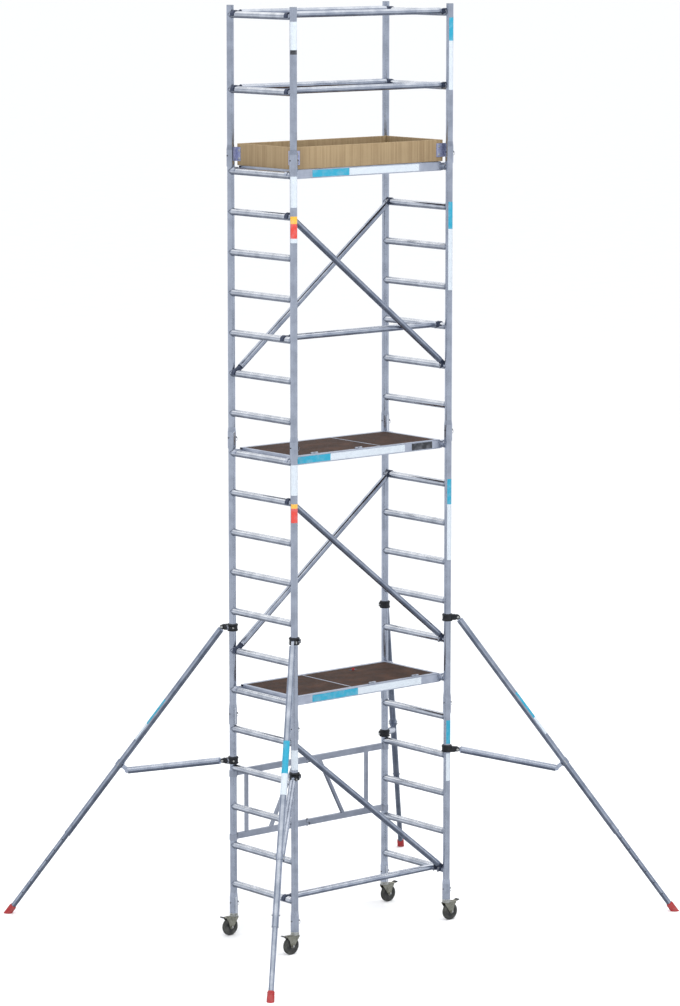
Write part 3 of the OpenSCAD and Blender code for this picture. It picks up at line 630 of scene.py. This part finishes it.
def softwood(name, pale, dark):
    """Board whose grain runs upright."""
    material, tree, place = finish(name)
    drawn = add(tree, "Mapping", Vector=place, Scale=(1, 1, 0.02))[0]
    rings = add(tree, "TexNoise", Vector=drawn, Scale=1000 / 16, Detail=2.0)["Fac"]
    fibre = add(tree, "TexNoise", Vector=drawn, Scale=1000 / 2, Detail=3.0)["Fac"]
    weather = add(tree, "TexNoise", Vector=place, Scale=1000 / 200, Detail=4.0)["Fac"]
    figure = add(tree, "Mix", {"data_type": "FLOAT"}, i0=0.3, i2=rings, i3=fibre)[0]
    tone = add(tree, "Mix", {"data_type": "FLOAT"}, i0=0.2, i2=figure, i3=weather)[0]
    colour = add(tree, "ValToRGB", Fac=tone, stops=((0.38, dark), (0.62, pale)))["Color"]
    relief = add(tree, "Bump", Height=fibre, Distance=0.25 * MM, Strength=0.5)[0]
    shader = add(tree, "BsdfPrincipled", Base_Color=colour, Roughness=0.72, Normal=relief)[0]
    add(tree, "OutputMaterial", Surface=shader)
    return material


toe_wood = softwood("weathered_softwood", "#998565", "#846F51")
print("finishes:", len(bpy.data.materials))

# %% [markdown]
# ## Finishes on the CAD parts
# A part whose shape is already right keeps it and only gets its finish. The table below pairs names with finishes;
# a name's ending stands for the same part at every corner.

# %% Paint the CAD nodes
by_name = {
    "left_gate": gate_alloy, "right_gate": gate_alloy, "horizontal_braces": brace_alloy, "guard_rails": brace_alloy,
    "base_diagonal": diagonal_alloy, "middle_diagonals": diagonal_alloy, "upper_diagonals": diagonal_alloy,
    "brace_claws": claw_coat, "deck_boards": phenolic_plywood, "toe_boards": toe_wood,
    "toe_board_clips": clip_steel, "lock_pins": pin_steel, "post_caps": cap_plastic, "castor_stems": nut_zinc}
by_ending = {
    "guard_frame": guard_alloy, "_frame": ladder_alloy, "_hatch": phenolic_plywood, "_fork": fork_zinc,
    "_wheel": tyre_rubber, "_pedal": fork_zinc, "_clamps": coupler_coat, "_strut": strut_alloy,
    "_foot": foot_rubber}
for name, node in frame["nodes"].items():
    if name in by_name:
        paint = by_name[name]
    elif name.endswith("_deck_frame"):
        paint = deck_alloy
    elif name.endswith(("_tube", "_leg")):
        paint = stabiliser_alloy[name.rsplit("_", 1)[0]]
    else:
        paint = next(value for ending, value in by_ending.items() if name.endswith(ending))
    if not node.material_slots:
        node.data.materials.append(paint)
    for material_slot in node.material_slots:
        material_slot.material = paint
print("painted:", len(frame["nodes"]), "nodes")

# %% [markdown]
# ## Weld beads
# Every rung is welded to its two posts all the way round. A bead is a ripple of small frozen pools that follows the
# saddle where one tube meets another. A torus bent on the saddle gives this with few faces: it is shaped once, and
# then copied to every end of every rung.

# %% Model one bead


def weld_bead():
    """Bead round a rung's axis (Y) at a post whose axis is the local Z, with the rung on the -Y side."""
    bead_r, bead_t, ripples = rung_r + 0.6, 2.6, 20
    deselect()
    bpy.ops.mesh.primitive_torus_add(
        major_segments=40, minor_segments=6, major_radius=bead_r * MM, minor_radius=bead_t * MM,
        rotation=(pi / 2, 0, 0))
    bead = named("bead")
    for vertex in bead.data.vertices:
        x, y, z = vertex.co / MM
        angle = atan2(z, x)
        swell = 1 + 0.025 * sin(ripples * angle)
        saddle = sqrt(max(post_r ** 2 - ((rung_r + 0.4) * cos(angle)) ** 2, 0))
        vertex.co = Vector((x * swell, y * (1 + 4 * (swell - 1)) - saddle, z * swell)) * MM
    return bead


# %% Weld every ladder frame
rungs_of = {
    "base_frame": [rung_z(n) for n in range(1, 6)], "middle_frame": [rung_z(n) for n in range(6, 13)],
    "upper_frame": [rung_z(n) for n in range(13, 20)], "guard_frame": [knee_z, guard_z]}
for side, label in ((-1, "left"), (1, "right")):
    for frame_name, heights in rungs_of.items():
        places = [
            to(side * post_x, end * post_y, z) @ Matrix.Diagonal((1, end, 1, 1))
            for z in heights for end in (-1, 1)]
        beads = repeated(f"{label}_{frame_name}_welds", weld_bead(), places)
        fitted(beads, weld_metal, smooth=60)
print("weld beads:", 4 * sum(len(heights) for heights in rungs_of.values()))

# %% [markdown]
# ## Post caps
# A grey plastic plug closes each post. A turned outline gives the domed top with its small flange, which a plain
# disc doesn't have. It replaces the CAD discs, and stays as high as they are.

# %% Turn the caps
cap_outline = [(0, 0), (22.7, 0), (22.7, 18), (24.6, 18.2), (25, 19), (25, 20), (23.5, 21.2), (17, 21.9), (0, 22)]
cap_sunk = 17.8
cap_places = [to(x * post_x, y * post_y, post_top - cap_sunk) for x, y in corners.values()]
fitted(repeated("domed_post_caps", turned("cap", cap_outline), cap_places), cap_plastic,
       replaces=["post_caps"])
print("post caps:", len(cap_places))

# %% [markdown]
# ## Lock-pin rings
# Each lock pin hangs on a wire ring that keeps it from falling and gives a finger something to pull. The ring is a
# torus made taller in edit mode, hanging from the pin's head.

# %% Bend the rings
castor_pin_z, pin_rise, ring_reach, ring_drop = 233, 105, 40, 8
pin_heights = [castor_pin_z] + [rung_z(n) + pin_rise for n in (5, 12, 19)]


def pull_ring():
    """Wire ring that hangs below a pin's head, in the plane across the pin."""
    deselect()
    bpy.ops.mesh.primitive_torus_add(
        major_segments=24, minor_segments=6, major_radius=10 * MM, minor_radius=1.3 * MM, rotation=(0, pi / 2, 0))
    ring = named("ring")
    open_on(ring, lambda centre, normal: centre.z < 0)
    bpy.ops.transform.resize(value=(1, 1, 1.5), center_override=(0, 0, 0))
    close()
    return ring


ring_places = [
    to(x * post_x + ring_reach, y * post_y, z - ring_drop) for x, y in corners.values() for z in pin_heights]
fitted(repeated("lock_pin_rings", pull_ring(), ring_places), spring_steel, smooth=60)
print("pull rings:", len(ring_places))

# %% [markdown]
# ## Hook catches
# A brace's hook is open below, so a sprung finger closes it under the rung. It is bent from strip: a small
# rectangle spun round the rung's axis makes the curved finger, and extruding its last face twice makes the thumb
# tab.

# %% Bend a catch


def catch(width):
    """Finger under a rung whose axis is the local Y axis, with its thumb tab on the +X side."""
    finger = block("catch", (3.2, width, 3), at=(27.0, 0, -11))
    open_on(finger, lambda centre, normal: normal.z < -0.9)
    bpy.ops.mesh.spin(steps=8, angle=radians(62), center=(0, 0, 0), axis=(0, 1, 0))
    close()
    open_on(finger, lambda centre, normal: normal.x > 0.9 and centre.z > -13)
    bpy.ops.mesh.inset(thickness=0.4 * MM)
    bpy.ops.mesh.extrude_region_move(TRANSFORM_OT_translate={"value": (7 * MM, 0, -1 * MM)})
    bpy.ops.mesh.extrude_region_move(TRANSFORM_OT_translate={"value": (4 * MM, 0, -6 * MM)})
    close()
    only(finger)
    bpy.ops.object.mode_set(mode="EDIT")
    bpy.ops.mesh.select_all(action="SELECT")
    bpy.ops.mesh.remove_doubles(threshold=0.00001)
    bpy.ops.mesh.normals_make_consistent(inside=False)
    close()
    return finger


# %% Fit the brace catches
brace_y, single_y = post_y - 50, post_y - 97     # beside the posts, and inside the base diagonal's hook
brace_ends = [
    (rung_z(1), rung_z(1), -single_y), (rung_z(15), rung_z(15), -single_y), (rung_z(5), rung_z(1), -brace_y),
    (rung_z(11), rung_z(7), -brace_y), (rung_z(7), rung_z(11), brace_y),
    (rung_z(18), rung_z(14), -brace_y), (rung_z(14), rung_z(18), brace_y)]
brace_ends += [(z, z, side * brace_y) for side in (-1, 1) for z in (knee_z, guard_z)]
hook_places = [
    to(side * post_x, y, ends[0 if side < 0 else 1]) @ handed(-side)
    for *ends, y in brace_ends for side in (-1, 1)]
fitted(repeated("brace_hook_catches", catch(16), hook_places), spring_steel)
print("brace catches:", len(hook_places))

# %% [markdown]
# ## Rivets in the hooks
# Each brace tube is held on its hook's spigot by a domed rivet on either side. A rivet head is a short turned dome.

# %% Turn and place the rivets
rivet_outline = [(0, 0), (4.6, 0), (4.6, 0.6), (3.6, 1.7), (1.8, 2.4), (0, 2.6)]
rivet_reach, spigot_rise = 64, 12
rivet_places = []
for left_z, right_z, y in brace_ends:
    lean = atan2(right_z - left_z, 2 * post_x)
    for side in (-1, 1):
        along = -side * rivet_reach
        end_z = (left_z if side < 0 else right_z) + spigot_rise
        for face in (-1, 1):
            spot = to(side * post_x + along * cos(lean), y + face * (brace_r - 0.3), end_z + along * sin(lean))
            rivet_places.append(spot @ turn(-90 * face, "X"))
fitted(repeated("brace_rivets", turned("rivet", rivet_outline, steps=12), rivet_places), spring_steel)
print("brace rivets:", len(rivet_places))

# %% [markdown]
# ## Castors
# The tyre is rubber moulded on a nylon hub. Both are turned: the tyre has round shoulders and two thin grooves, the
# hub has a boss and a sunk web. They take the place of the CAD's single turned wheel and stay inside its outline.

# %% Turn tyre and hub
wheel_r = box_mm("front_left_wheel")[1].z / 2
trail, axle_z = 35, wheel_r
tread = [(56, 15.6), (59.6, 13.4), (61.8, 9.6), (62.4, 6.6), (61.2, 6.2), (61.2, 5.2), (62.5, 4.8)]
tyre_outline = [(44.3, 13), (46, 14.8), (50, 15.8)] + tread
tyre_outline += [(radius, -rise) for radius, rise in reversed(tyre_outline)]
hub_half = [(14, 18), (15.2, 17), (16.2, 10), (19, 8.6), (36, 8.6), (39, 10), (41, 13.4), (44, 13.4)]
hub_outline = [(6.2, 18)] + hub_half + [(radius, -rise) for radius, rise in reversed(hub_half)] + [(6.2, -18)]
for corner, (side_x, side_y) in corners.items():
    spot = to(side_x * (post_x + trail), side_y * post_y, axle_z) @ turn(90, "X")
    tyre = repeated(f"{corner}_tyre", turned("tyre", tyre_outline, steps=48), [spot])
    fitted(tyre, tyre_rubber, f"{corner}_wheel", [f"{corner}_wheel"])
    hub = repeated(f"{corner}_hub", turned("hub", hub_outline), [spot])
    fitted(hub, hub_nylon, f"{corner}_wheel")
print(f"wheels: {2 * wheel_r:.0f} mm across")

# %% [markdown]
# ## Castor details
# The swivel's two rows of balls run between pressed cups, which show as a rounded ring on the fork's crown. The axle
# ends in domed lock nuts. The brake pedal carries a ribbed black tread, made by insetting and raising every second
# strip of a subdivided pad.

# %% Race cups and axle nuts
crown_z, fork_face = 130, 29.5
cup_outline = [(26.8, 3), (29, 4), (30, 6.2), (29, 8.4), (27.6, 9), (29, 9.8), (30, 12), (29, 14.4), (26.8, 15.4)]
nut_outline = [(0, 0), (8.2, 0), (8.2, 1.6), (7.4, 2.6), (6.4, 2.9), (5.6, 4.8), (3.2, 6.4), (0, 6.8)]


def castor_place(side_x, side_y):
    """Local frame of a castor, which is drawn trailing to -X and mirrored on the right."""
    return to(side_x * post_x, side_y * post_y, 0) @ handed(-side_x)


for corner, sides in corners.items():
    spot = castor_place(*sides)
    cup = repeated(f"{corner}_race_cups", turned("cup", cup_outline), [spot @ to(0, 0, crown_z)])
    fitted(cup, nut_zinc, f"{corner}_castor", smooth=60)
    nut_places = [spot @ to(-trail, face * fork_face, axle_z) @ turn(-90 * face, "X") for face in (-1, 1)]
    nuts = repeated(f"{corner}_axle_nuts", turned("nut", nut_outline, steps=16), nut_places)
    fitted(nuts, nut_zinc, f"{corner}_castor")

# %% Pedal treads


def pedal_tread():
    """Ribbed pad on the pedal's tip, which lies along -X and is flat here."""
    length, strips, tip_x = 22, 7, -36
    pad = block("pad", (length, 36, 6.4), at=(tip_x + length / 2, 0, 2))
    open_on(pad, lambda middle, along: abs(along.x) > 0.9, "EDGE")
    bpy.ops.mesh.subdivide(number_cuts=strips - 1)
    close()
    open_on(pad, lambda centre, normal: normal.z > 0.9 and int((centre.x - tip_x) * strips / length) % 2 == 1)
    bpy.ops.mesh.inset(thickness=0.3 * MM)
    bpy.ops.transform.translate(value=(0, 0, 1.2 * MM))
    close()
    return bevelled(pad, 0.5, 1, 60)


pedal_reach, pedal_slope = 43, 14
for corner, sides in corners.items():
    spot = castor_place(*sides) @ to(-trail - pedal_reach, 0, crown_z - 1) @ turn(pedal_slope, "Y")
    fitted(repeated(f"{corner}_pedal_tread", pedal_tread(), [spot]), tread_plastic, f"{corner}_pedal")

# %% [markdown]
# ## Stabiliser frames
# A stabiliser's own frame has X pointing away from its post. Its tube's frame has Z running down the tube from the
# upper pivot. Both come from the axis that the telescopic leg slides along.

# %% Places on a stabiliser
clamp_half = 25
clamp_high = box_mm("front_left_clamps")[1].z - clamp_half
clamp_low = box_mm("front_left_clamps")[0].z + clamp_half
pivot_x, strut_drop, strut_length, tube_length, foot_length = 74, 8, 795, 1985, 56
stabiliser_r, clamp_r = 23, 35
print(f"clamps at {clamp_low:.0f} and {clamp_high:.0f} mm")


def tilt(corner):
    """Angle of a stabiliser's tube from the vertical, in degrees."""
    return degrees(asin(Vector(stabiliser_axis(corner)[:2]).length))


def outward(corner):
    """Frame of a stabiliser, at floor height on its post's axis."""
    axis = stabiliser_axis(corner)
    side_x, side_y = corners[corner]
    return to(side_x * post_x, side_y * post_y, 0) @ turn(degrees(atan2(axis.y, axis.x)), "Z")


def down_tube(corner):
    """Frame of a stabiliser's tube: Z runs down it from the upper pivot, and -X looks up and outwards."""
    return outward(corner) @ to(pivot_x, 0, clamp_high) @ turn(180 - tilt(corner), "Y")


# %% [markdown]
# ## Clamps
# Each clamp is a cast half coupler: two stiffening ribs run round it, an eye bolt with a wing nut closes the jaws,
# and a lock nut sits on each end of the pivot bolt. The nuts are six-sided cylinders whose ends are inset and
# pushed out, which chamfers them as a real nut is.

# %% Model ribs, bolts and nuts
rib_outline = [(34, -4.6), (37.4, -3.6), (38.4, 0), (37.4, 3.6), (34, 4.6)]


def hex_nut(across, thick):
    """Nut along the Z axis with chamfered ends."""
    nut = cylinder("nut", across / 2 / cos(pi / 6), thick, vertices=6)
    open_on(nut, lambda centre, normal: abs(normal.z) > 0.9)
    bpy.ops.mesh.inset(thickness=across * 0.08 * MM, depth=0.9 * MM)
    close()
    return nut


def wing_nut():
    """Wing nut along the Z axis: a turned core with two raised wings."""
    core = turned("core", [(0, 0), (7, 0), (7, 3), (5.5, 10), (0, 10)], steps=16)
    wings = []
    for side in (-1, 1):
        wing = block("wing", (10, 4, 9), at=(side * 10, 0, 7))
        open_on(wing, lambda centre, normal: normal.x * side > 0.9)
        bpy.ops.transform.resize(value=(1, 0.7, 1.5), center_override=(side * 15 * MM, 0, 7 * MM))
        bpy.ops.transform.translate(value=(side * 2 * MM, 0, 5 * MM))
        close()
        wings.append(bevelled(wing, 1.2))
    return joined("wing_nut", [core] + wings)


# %% Fit the clamps' ironwork
rib_shift, wing_x, head_x, cheek_face = 17.5, 14.2, -17.2, 24.2
for corner in corners:
    post = outward(corner)
    body = f"{corner}_stabiliser"
    rib_places = [post @ to(0, 0, z + shift) for z in (clamp_high, clamp_low) for shift in (-rib_shift, rib_shift)]
    fitted(repeated(f"{corner}_clamp_ribs", turned("rib", rib_outline), rib_places), coupler_coat, body,
           smooth=60)
    across = turn(90, "Y")
    lugs = [post @ to(0, clamp_r + 2, z) for z in (clamp_high, clamp_low)]
    shanks = [lug @ across for lug in lugs]
    fitted(repeated(f"{corner}_clamp_bolts", bevelled(cylinder("shank", 4, 48, vertices=16), 0.8), shanks),
           nut_zinc, body)
    fitted(repeated(f"{corner}_wing_nuts", wing_nut(), [lug @ to(wing_x, 0, 0) @ across for lug in lugs]),
           spring_steel, body)
    heads = [lug @ to(head_x, 0, 0) @ across for lug in lugs]
    fitted(repeated(f"{corner}_bolt_heads", hex_nut(13, 5), heads), nut_zinc, body)
    pivots = [
        post @ to(pivot_x, face * cheek_face, z) @ turn(90, "X")
        for z in (clamp_high, clamp_low - strut_drop) for face in (-1, 1)]
    fitted(repeated(f"{corner}_pivot_nuts", hex_nut(17, 6.4), pivots), nut_zinc, body)

# %% [markdown]
# ## Collar bolts and snap buttons
# The brace's collar is pinched by two bolts. A sprung button at the tube's lower end drops into the leg's holes to
# set its length. Both are turned or hexagonal heads on the sides of the tube.

# %% Fit collar bolts and snap buttons
button_outline = [(0, 0), (6.5, 0), (6.5, 1.5), (4.6, 2.2), (4.2, 5), (3, 6.2), (0, 6.6)]
collar_face, bolt_shift, button_in = 29.5, 11, 75
rise = clamp_high - clamp_low + strut_drop
for corner in corners:
    tube = down_tube(corner)
    angle = radians(tilt(corner))
    collar = rise * cos(angle) + sqrt(strut_length ** 2 - (rise * sin(angle)) ** 2)
    sides = [turn(-90 * face, "X") for face in (-1, 1)]
    bolts = [
        tube @ to(0, face * collar_face, collar + shift) @ side
        for face, side in zip((-1, 1), sides) for shift in (-bolt_shift, bolt_shift)]
    fitted(repeated(f"{corner}_collar_bolts", hex_nut(10, 5), bolts), nut_zinc, f"{corner}_stabiliser")
    buttons = [
        tube @ to(0, face * (stabiliser_r - 0.6), tube_length - button_in) @ side
        for face, side in zip((-1, 1), sides)]
    fitted(repeated(f"{corner}_snap_buttons", turned("button", button_outline, steps=16), buttons), spring_steel,
           f"{corner}_stabiliser")

# %% [markdown]
# ## Rubber feet
# A foot is moulded round the leg's end with three grip ribs, and worn level by the floor. Its turned outline runs
# down the tube's axis, and a bisect cuts it flat just above the floor.

# %% Turn and cut the feet
foot_outline = [
    (19.3, 0), (22, 0), (23, 1.2), (23, 7), (25.9, 9), (25.9, 14), (24, 15.5), (24, 19), (25.9, 20.5), (25.9, 26),
    (24, 27.5), (24, 31), (25.9, 32.5), (25.9, 96), (0, 96), (0, 13), (19.3, 13)]
foot_axis_z, floor_gap = 16, 0.3
for corner in corners:
    tip = (clamp_high - foot_axis_z) / cos(radians(tilt(corner)))
    place = down_tube(corner) @ to(0, 0, tip - foot_length)
    foot = repeated(f"{corner}_ribbed_foot", turned("foot", foot_outline, steps=40), [place])
    only(foot)
    bpy.ops.object.mode_set(mode="EDIT")
    bpy.ops.mesh.select_all(action="SELECT")
    bpy.ops.mesh.bisect(plane_co=(0, 0, floor_gap * MM), plane_no=(0, 0, 1), use_fill=True, clear_inner=True)
    close()
    fitted(foot, foot_rubber, f"{corner}_leg", [f"{corner}_foot"])

# %% [markdown]
# ## Gate pins
# The two halves of the base's gate turn on headed pins in their middle knuckles.

# %% Turn the gate pins
knuckle_r, half_rail, sleeve_drop = 13, 21, 5
gate_mid_x = box_mm("right_gate")[0].x + knuckle_r
gate_low = box_mm("right_gate")[0].z + half_rail + sleeve_drop
gate_high = box_mm("right_gate")[1].z - half_rail
half_pin = [(5.9, 21.4), (8.6, 21.4), (8.6, 24), (7, 26), (0, 26.4)]
pin_outline = [(radius, -rise) for radius, rise in reversed(half_pin)] + half_pin
fitted(repeated("gate_pins", turned("pin", pin_outline, steps=20),
                [to(gate_mid_x, post_y, z) for z in (gate_low, gate_high)]), pin_steel)

# %% [markdown]
# ## Deck trim
# A deck's side rails are extrusions with a small lip along their top and bottom edges. Rivets fix the end bars,
# screws fix the hinge leaves, a strip covers the edge of the fixed board, and each trapdoor has a red turn latch on
# a dark plate.

# %% Rail lips and rivets
rail_y, rail_low, rail_high, rail_half, lip_in = 300, -25, 37, 664, 2.6
rivet_x, rivet_shift = 652, 13
rail_mid = (rail_low + rail_high) / 2
for deck, (z, _) in decks.items():
    lips = [
        to(0, side * (rail_y + 0.4), z + height)
        for side in (-1, 1) for height in (rail_low + lip_in, rail_high - lip_in)]
    lip = bevelled(block("lip", (2 * rail_half, 1.6, 5)), 0.6)
    fitted(repeated(f"{deck}_deck_lips", lip, lips), deck_alloy)
    spots = [
        to(side_x * rivet_x, side_y * (rail_y - 0.3), z + rail_mid + shift) @ turn(-90 * side_y, "X")
        for side_x, side_y in corners.values() for shift in (-rivet_shift, rivet_shift)]
    fitted(repeated(f"{deck}_deck_rivets", turned("rivet", rivet_outline, steps=12), spots), spring_steel)

# %% Edge strip, hinge screws and latch
hinge_reach, latch_reach, latch_y = (190, 590), 396, 182
split_x = box_mm("lower_hatch")[0].x - 1
screw_outline = [(0, 0.6), (0.9, 0.6), (1.2, 1.3), (3, 1.1), (4.2, 0), (0, 0)]
latch_outline = [(0, 0), (11, 0), (11, 2.5), (8, 4), (8, 7), (7, 8.5), (0, 8.5)]
for deck, (z, face) in decks.items():
    frame_at = to(0, 0, z) @ handed(face)
    strip = bevelled(block("strip", (11, 532, 1.8), at=(split_x - 7, 0, board_rise + 0.9)), 0.7)
    fitted(repeated(f"{deck}_edge_strip", strip, [frame_at]), deck_alloy)
    hinges = [split_x + reach for reach in hinge_reach]
    fixed = [frame_at @ to(x + shift, -278, board_rise + 2.2) for x in hinges for shift in (-20, 0, 20)]
    fitted(repeated(f"{deck}_fixed_screws", turned("screw", screw_outline, steps=14), fixed), nut_zinc)
    moving = [frame_at @ to(x, y, board_rise + 2) for x in hinges for y in (-250, -239)]
    fitted(repeated(f"{deck}_leaf_screws", turned("screw", screw_outline, steps=14), moving), nut_zinc,
           f"{deck}_hatch")
    latch_at = frame_at @ to(split_x + latch_reach, latch_y, board_rise)
    plate = bevelled(block("plate", (64, 34, 1.8), at=(0, 0, 0.9)), 0.7)
    fitted(repeated(f"{deck}_latch_plate", plate, [latch_at]), pin_steel, f"{deck}_hatch")
    knob = turned("knob", latch_outline, steps=24)
    bar = bevelled(block("bar", (26, 7, 6), at=(0, 0, 10.5)), 2)
    fitted(repeated(f"{deck}_latch_knob", joined("knob", [knob, bar]), [latch_at @ to(0, 0, 1.6)]), foot_rubber,
           f"{deck}_hatch")

# %% [markdown]
# ## Toe boards
# Each plank is a box with its sawn edges eased, modelled once for the sides and once for the ends. Domed coach bolts
# hold the corner clips.

# %% Planks and bolts
toe_low, toe_high = box_mm("toe_boards")
plank_t = 25
plank_z = (toe_low.z + toe_high.z) / 2
plank_h = toe_high.z - toe_low.z
long_plank = bevelled(block("plank", (2 * toe_high.x - 0.4, plank_t, plank_h)), 2.5, 3)
long_y = toe_high.y - plank_t / 2
fitted(repeated("side_toe_planks", long_plank, [to(0, side * long_y, plank_z) for side in (-1, 1)]), toe_wood,
       replaces=["toe_boards"])
short_plank = bevelled(block("plank", (plank_t, 2 * (toe_high.y - plank_t) - 0.8, plank_h)), 2.5, 3)
short_x = toe_high.x - plank_t / 2
fitted(repeated("end_toe_planks", short_plank, [to(side * short_x, 0, plank_z) for side in (-1, 1)]), toe_wood)
coach_outline = [(0, 0), (9, 0), (8.4, 1.6), (5.5, 3.2), (0, 4)]
clip_bolts = []
bolt_rise = 28
for side_x, side_y in corners.values():
    for shift in (-bolt_rise, bolt_rise):
        clip_bolts.append(
            to(side_x * (toe_high.x - 38), side_y * (toe_high.y + 3), plank_z + shift) @ turn(-90 * side_y, "X"))
        clip_bolts.append(
            to(side_x * (toe_high.x + 3), side_y * (toe_high.y - 24), plank_z + shift) @ turn(90 * side_x, "Y"))
fitted(repeated("toe_clip_bolts", turned("bolt", coach_outline, steps=16), clip_bolts), nut_zinc)

# %% [markdown]
# ## Labels
# Vinyl film is printed flat and stuck on. Round a post, a label is part of a thin open cylinder: the faces outside
# its arc are deleted and the rest gets its thickness. On a rail it is a plane with rounded corners. All are plain
# colour blocks.

# %% Wrap and stick


def wrapped(name, colour, radius, middle, half, low, high, place, body):
    """Film round a tube from low to high, over the arc of middle give or take half, in degrees."""
    film = cylinder("film", radius + 0.15, high - low, 48, at=(0, 0, (low + high) / 2), ends="NOTHING")

    def outside(centre, normal):
        away = degrees(atan2(centre.y, centre.x)) - middle
        return abs((away + 180) % 360 - 180) > half

    open_on(film, outside)
    bpy.ops.mesh.delete(type="FACE")
    close()
    thickened(film, 0.25)
    fitted(repeated(name, film, [place]), vinyl[colour], body)


def stuck(name, colour, left, right, middle_z, tall):
    """Film on the front of a deck's rail."""
    deselect()
    bpy.ops.mesh.primitive_plane_add(
        size=1, location=((left + right) / 2 * MM, -(rail_y + 0.05) * MM, middle_z * MM), rotation=(pi / 2, 0, 0))
    film = bpy.context.active_object
    film.scale = ((right - left) * MM, tall * MM, 1)
    film = named("film")
    open_on(film, lambda centre, normal: True)
    bpy.ops.mesh.bevel(offset=3 * MM, segments=4, affect="VERTICES")
    close()
    thickened(film, 0.3)
    fitted(repeated(name, film, [Matrix()]), vinyl[colour])


# %% Labels on the posts
right_bands = [
    ("cyan", 6290, 6450), ("white", 5950, 6290), ("cyan", 4980, 5170), ("white", 4550, 4980), ("cyan", 3030, 3210),
    ("white", 2630, 3030), ("cyan", 1300, 1470), ("white", 1030, 1230)]
left_bands = [
    ("white", 6260, 6450), ("black", 6230, 6260), ("white", 5200, 5410), ("yellow", 5090, 5140),
    ("red", 4990, 5090), ("white", 4960, 4990), ("white", 3230, 3440), ("yellow", 3140, 3170), ("red", 3040, 3140),
    ("white", 1310, 1450)]
for count, (colour, low, high) in enumerate(right_bands, 1):
    wrapped(f"right_post_label_{count}", colour, post_r, -90, 50, low, high, to(post_x, -post_y, 0), "tower")
for count, (colour, low, high) in enumerate(left_bands, 1):
    wrapped(f"left_post_label_{count}", colour, post_r, -120, 70, low, high, to(-post_x, -post_y, 0), "tower")

# %% Labels on the stabilisers and deck rails
for corner in corners:
    for colour, low, high in (("cyan", 700, 930), ("white", 930, 1080)):
        wrapped(f"{corner}_{colour}_tube_label", colour, stabiliser_r, 180, 75, low, high, down_tube(corner),
                f"{corner}_stabiliser")
rail_bands = {
    "lower": (("cyan", -510, -95), ("white", -95, 495)),
    "middle": (("cyan", -640, -345), ("white", -345, 335), ("black", 400, 590)),
    "top": (("cyan", -505, -175), ("white", -175, 460))}
label_tall = 48
for deck, bands in rail_bands.items():
    for colour, left, right in bands:
        stuck(f"{deck}_{colour}_rail_label", colour, left, right, decks[deck][0] + rail_mid, label_tall)

# %% [markdown]
# ## Finish
# The last cell prints how many pieces and triangles were added.

# %% Count pieces and triangles
print("pieces:", len(triangles), "triangles:", sum(triangles.values()))
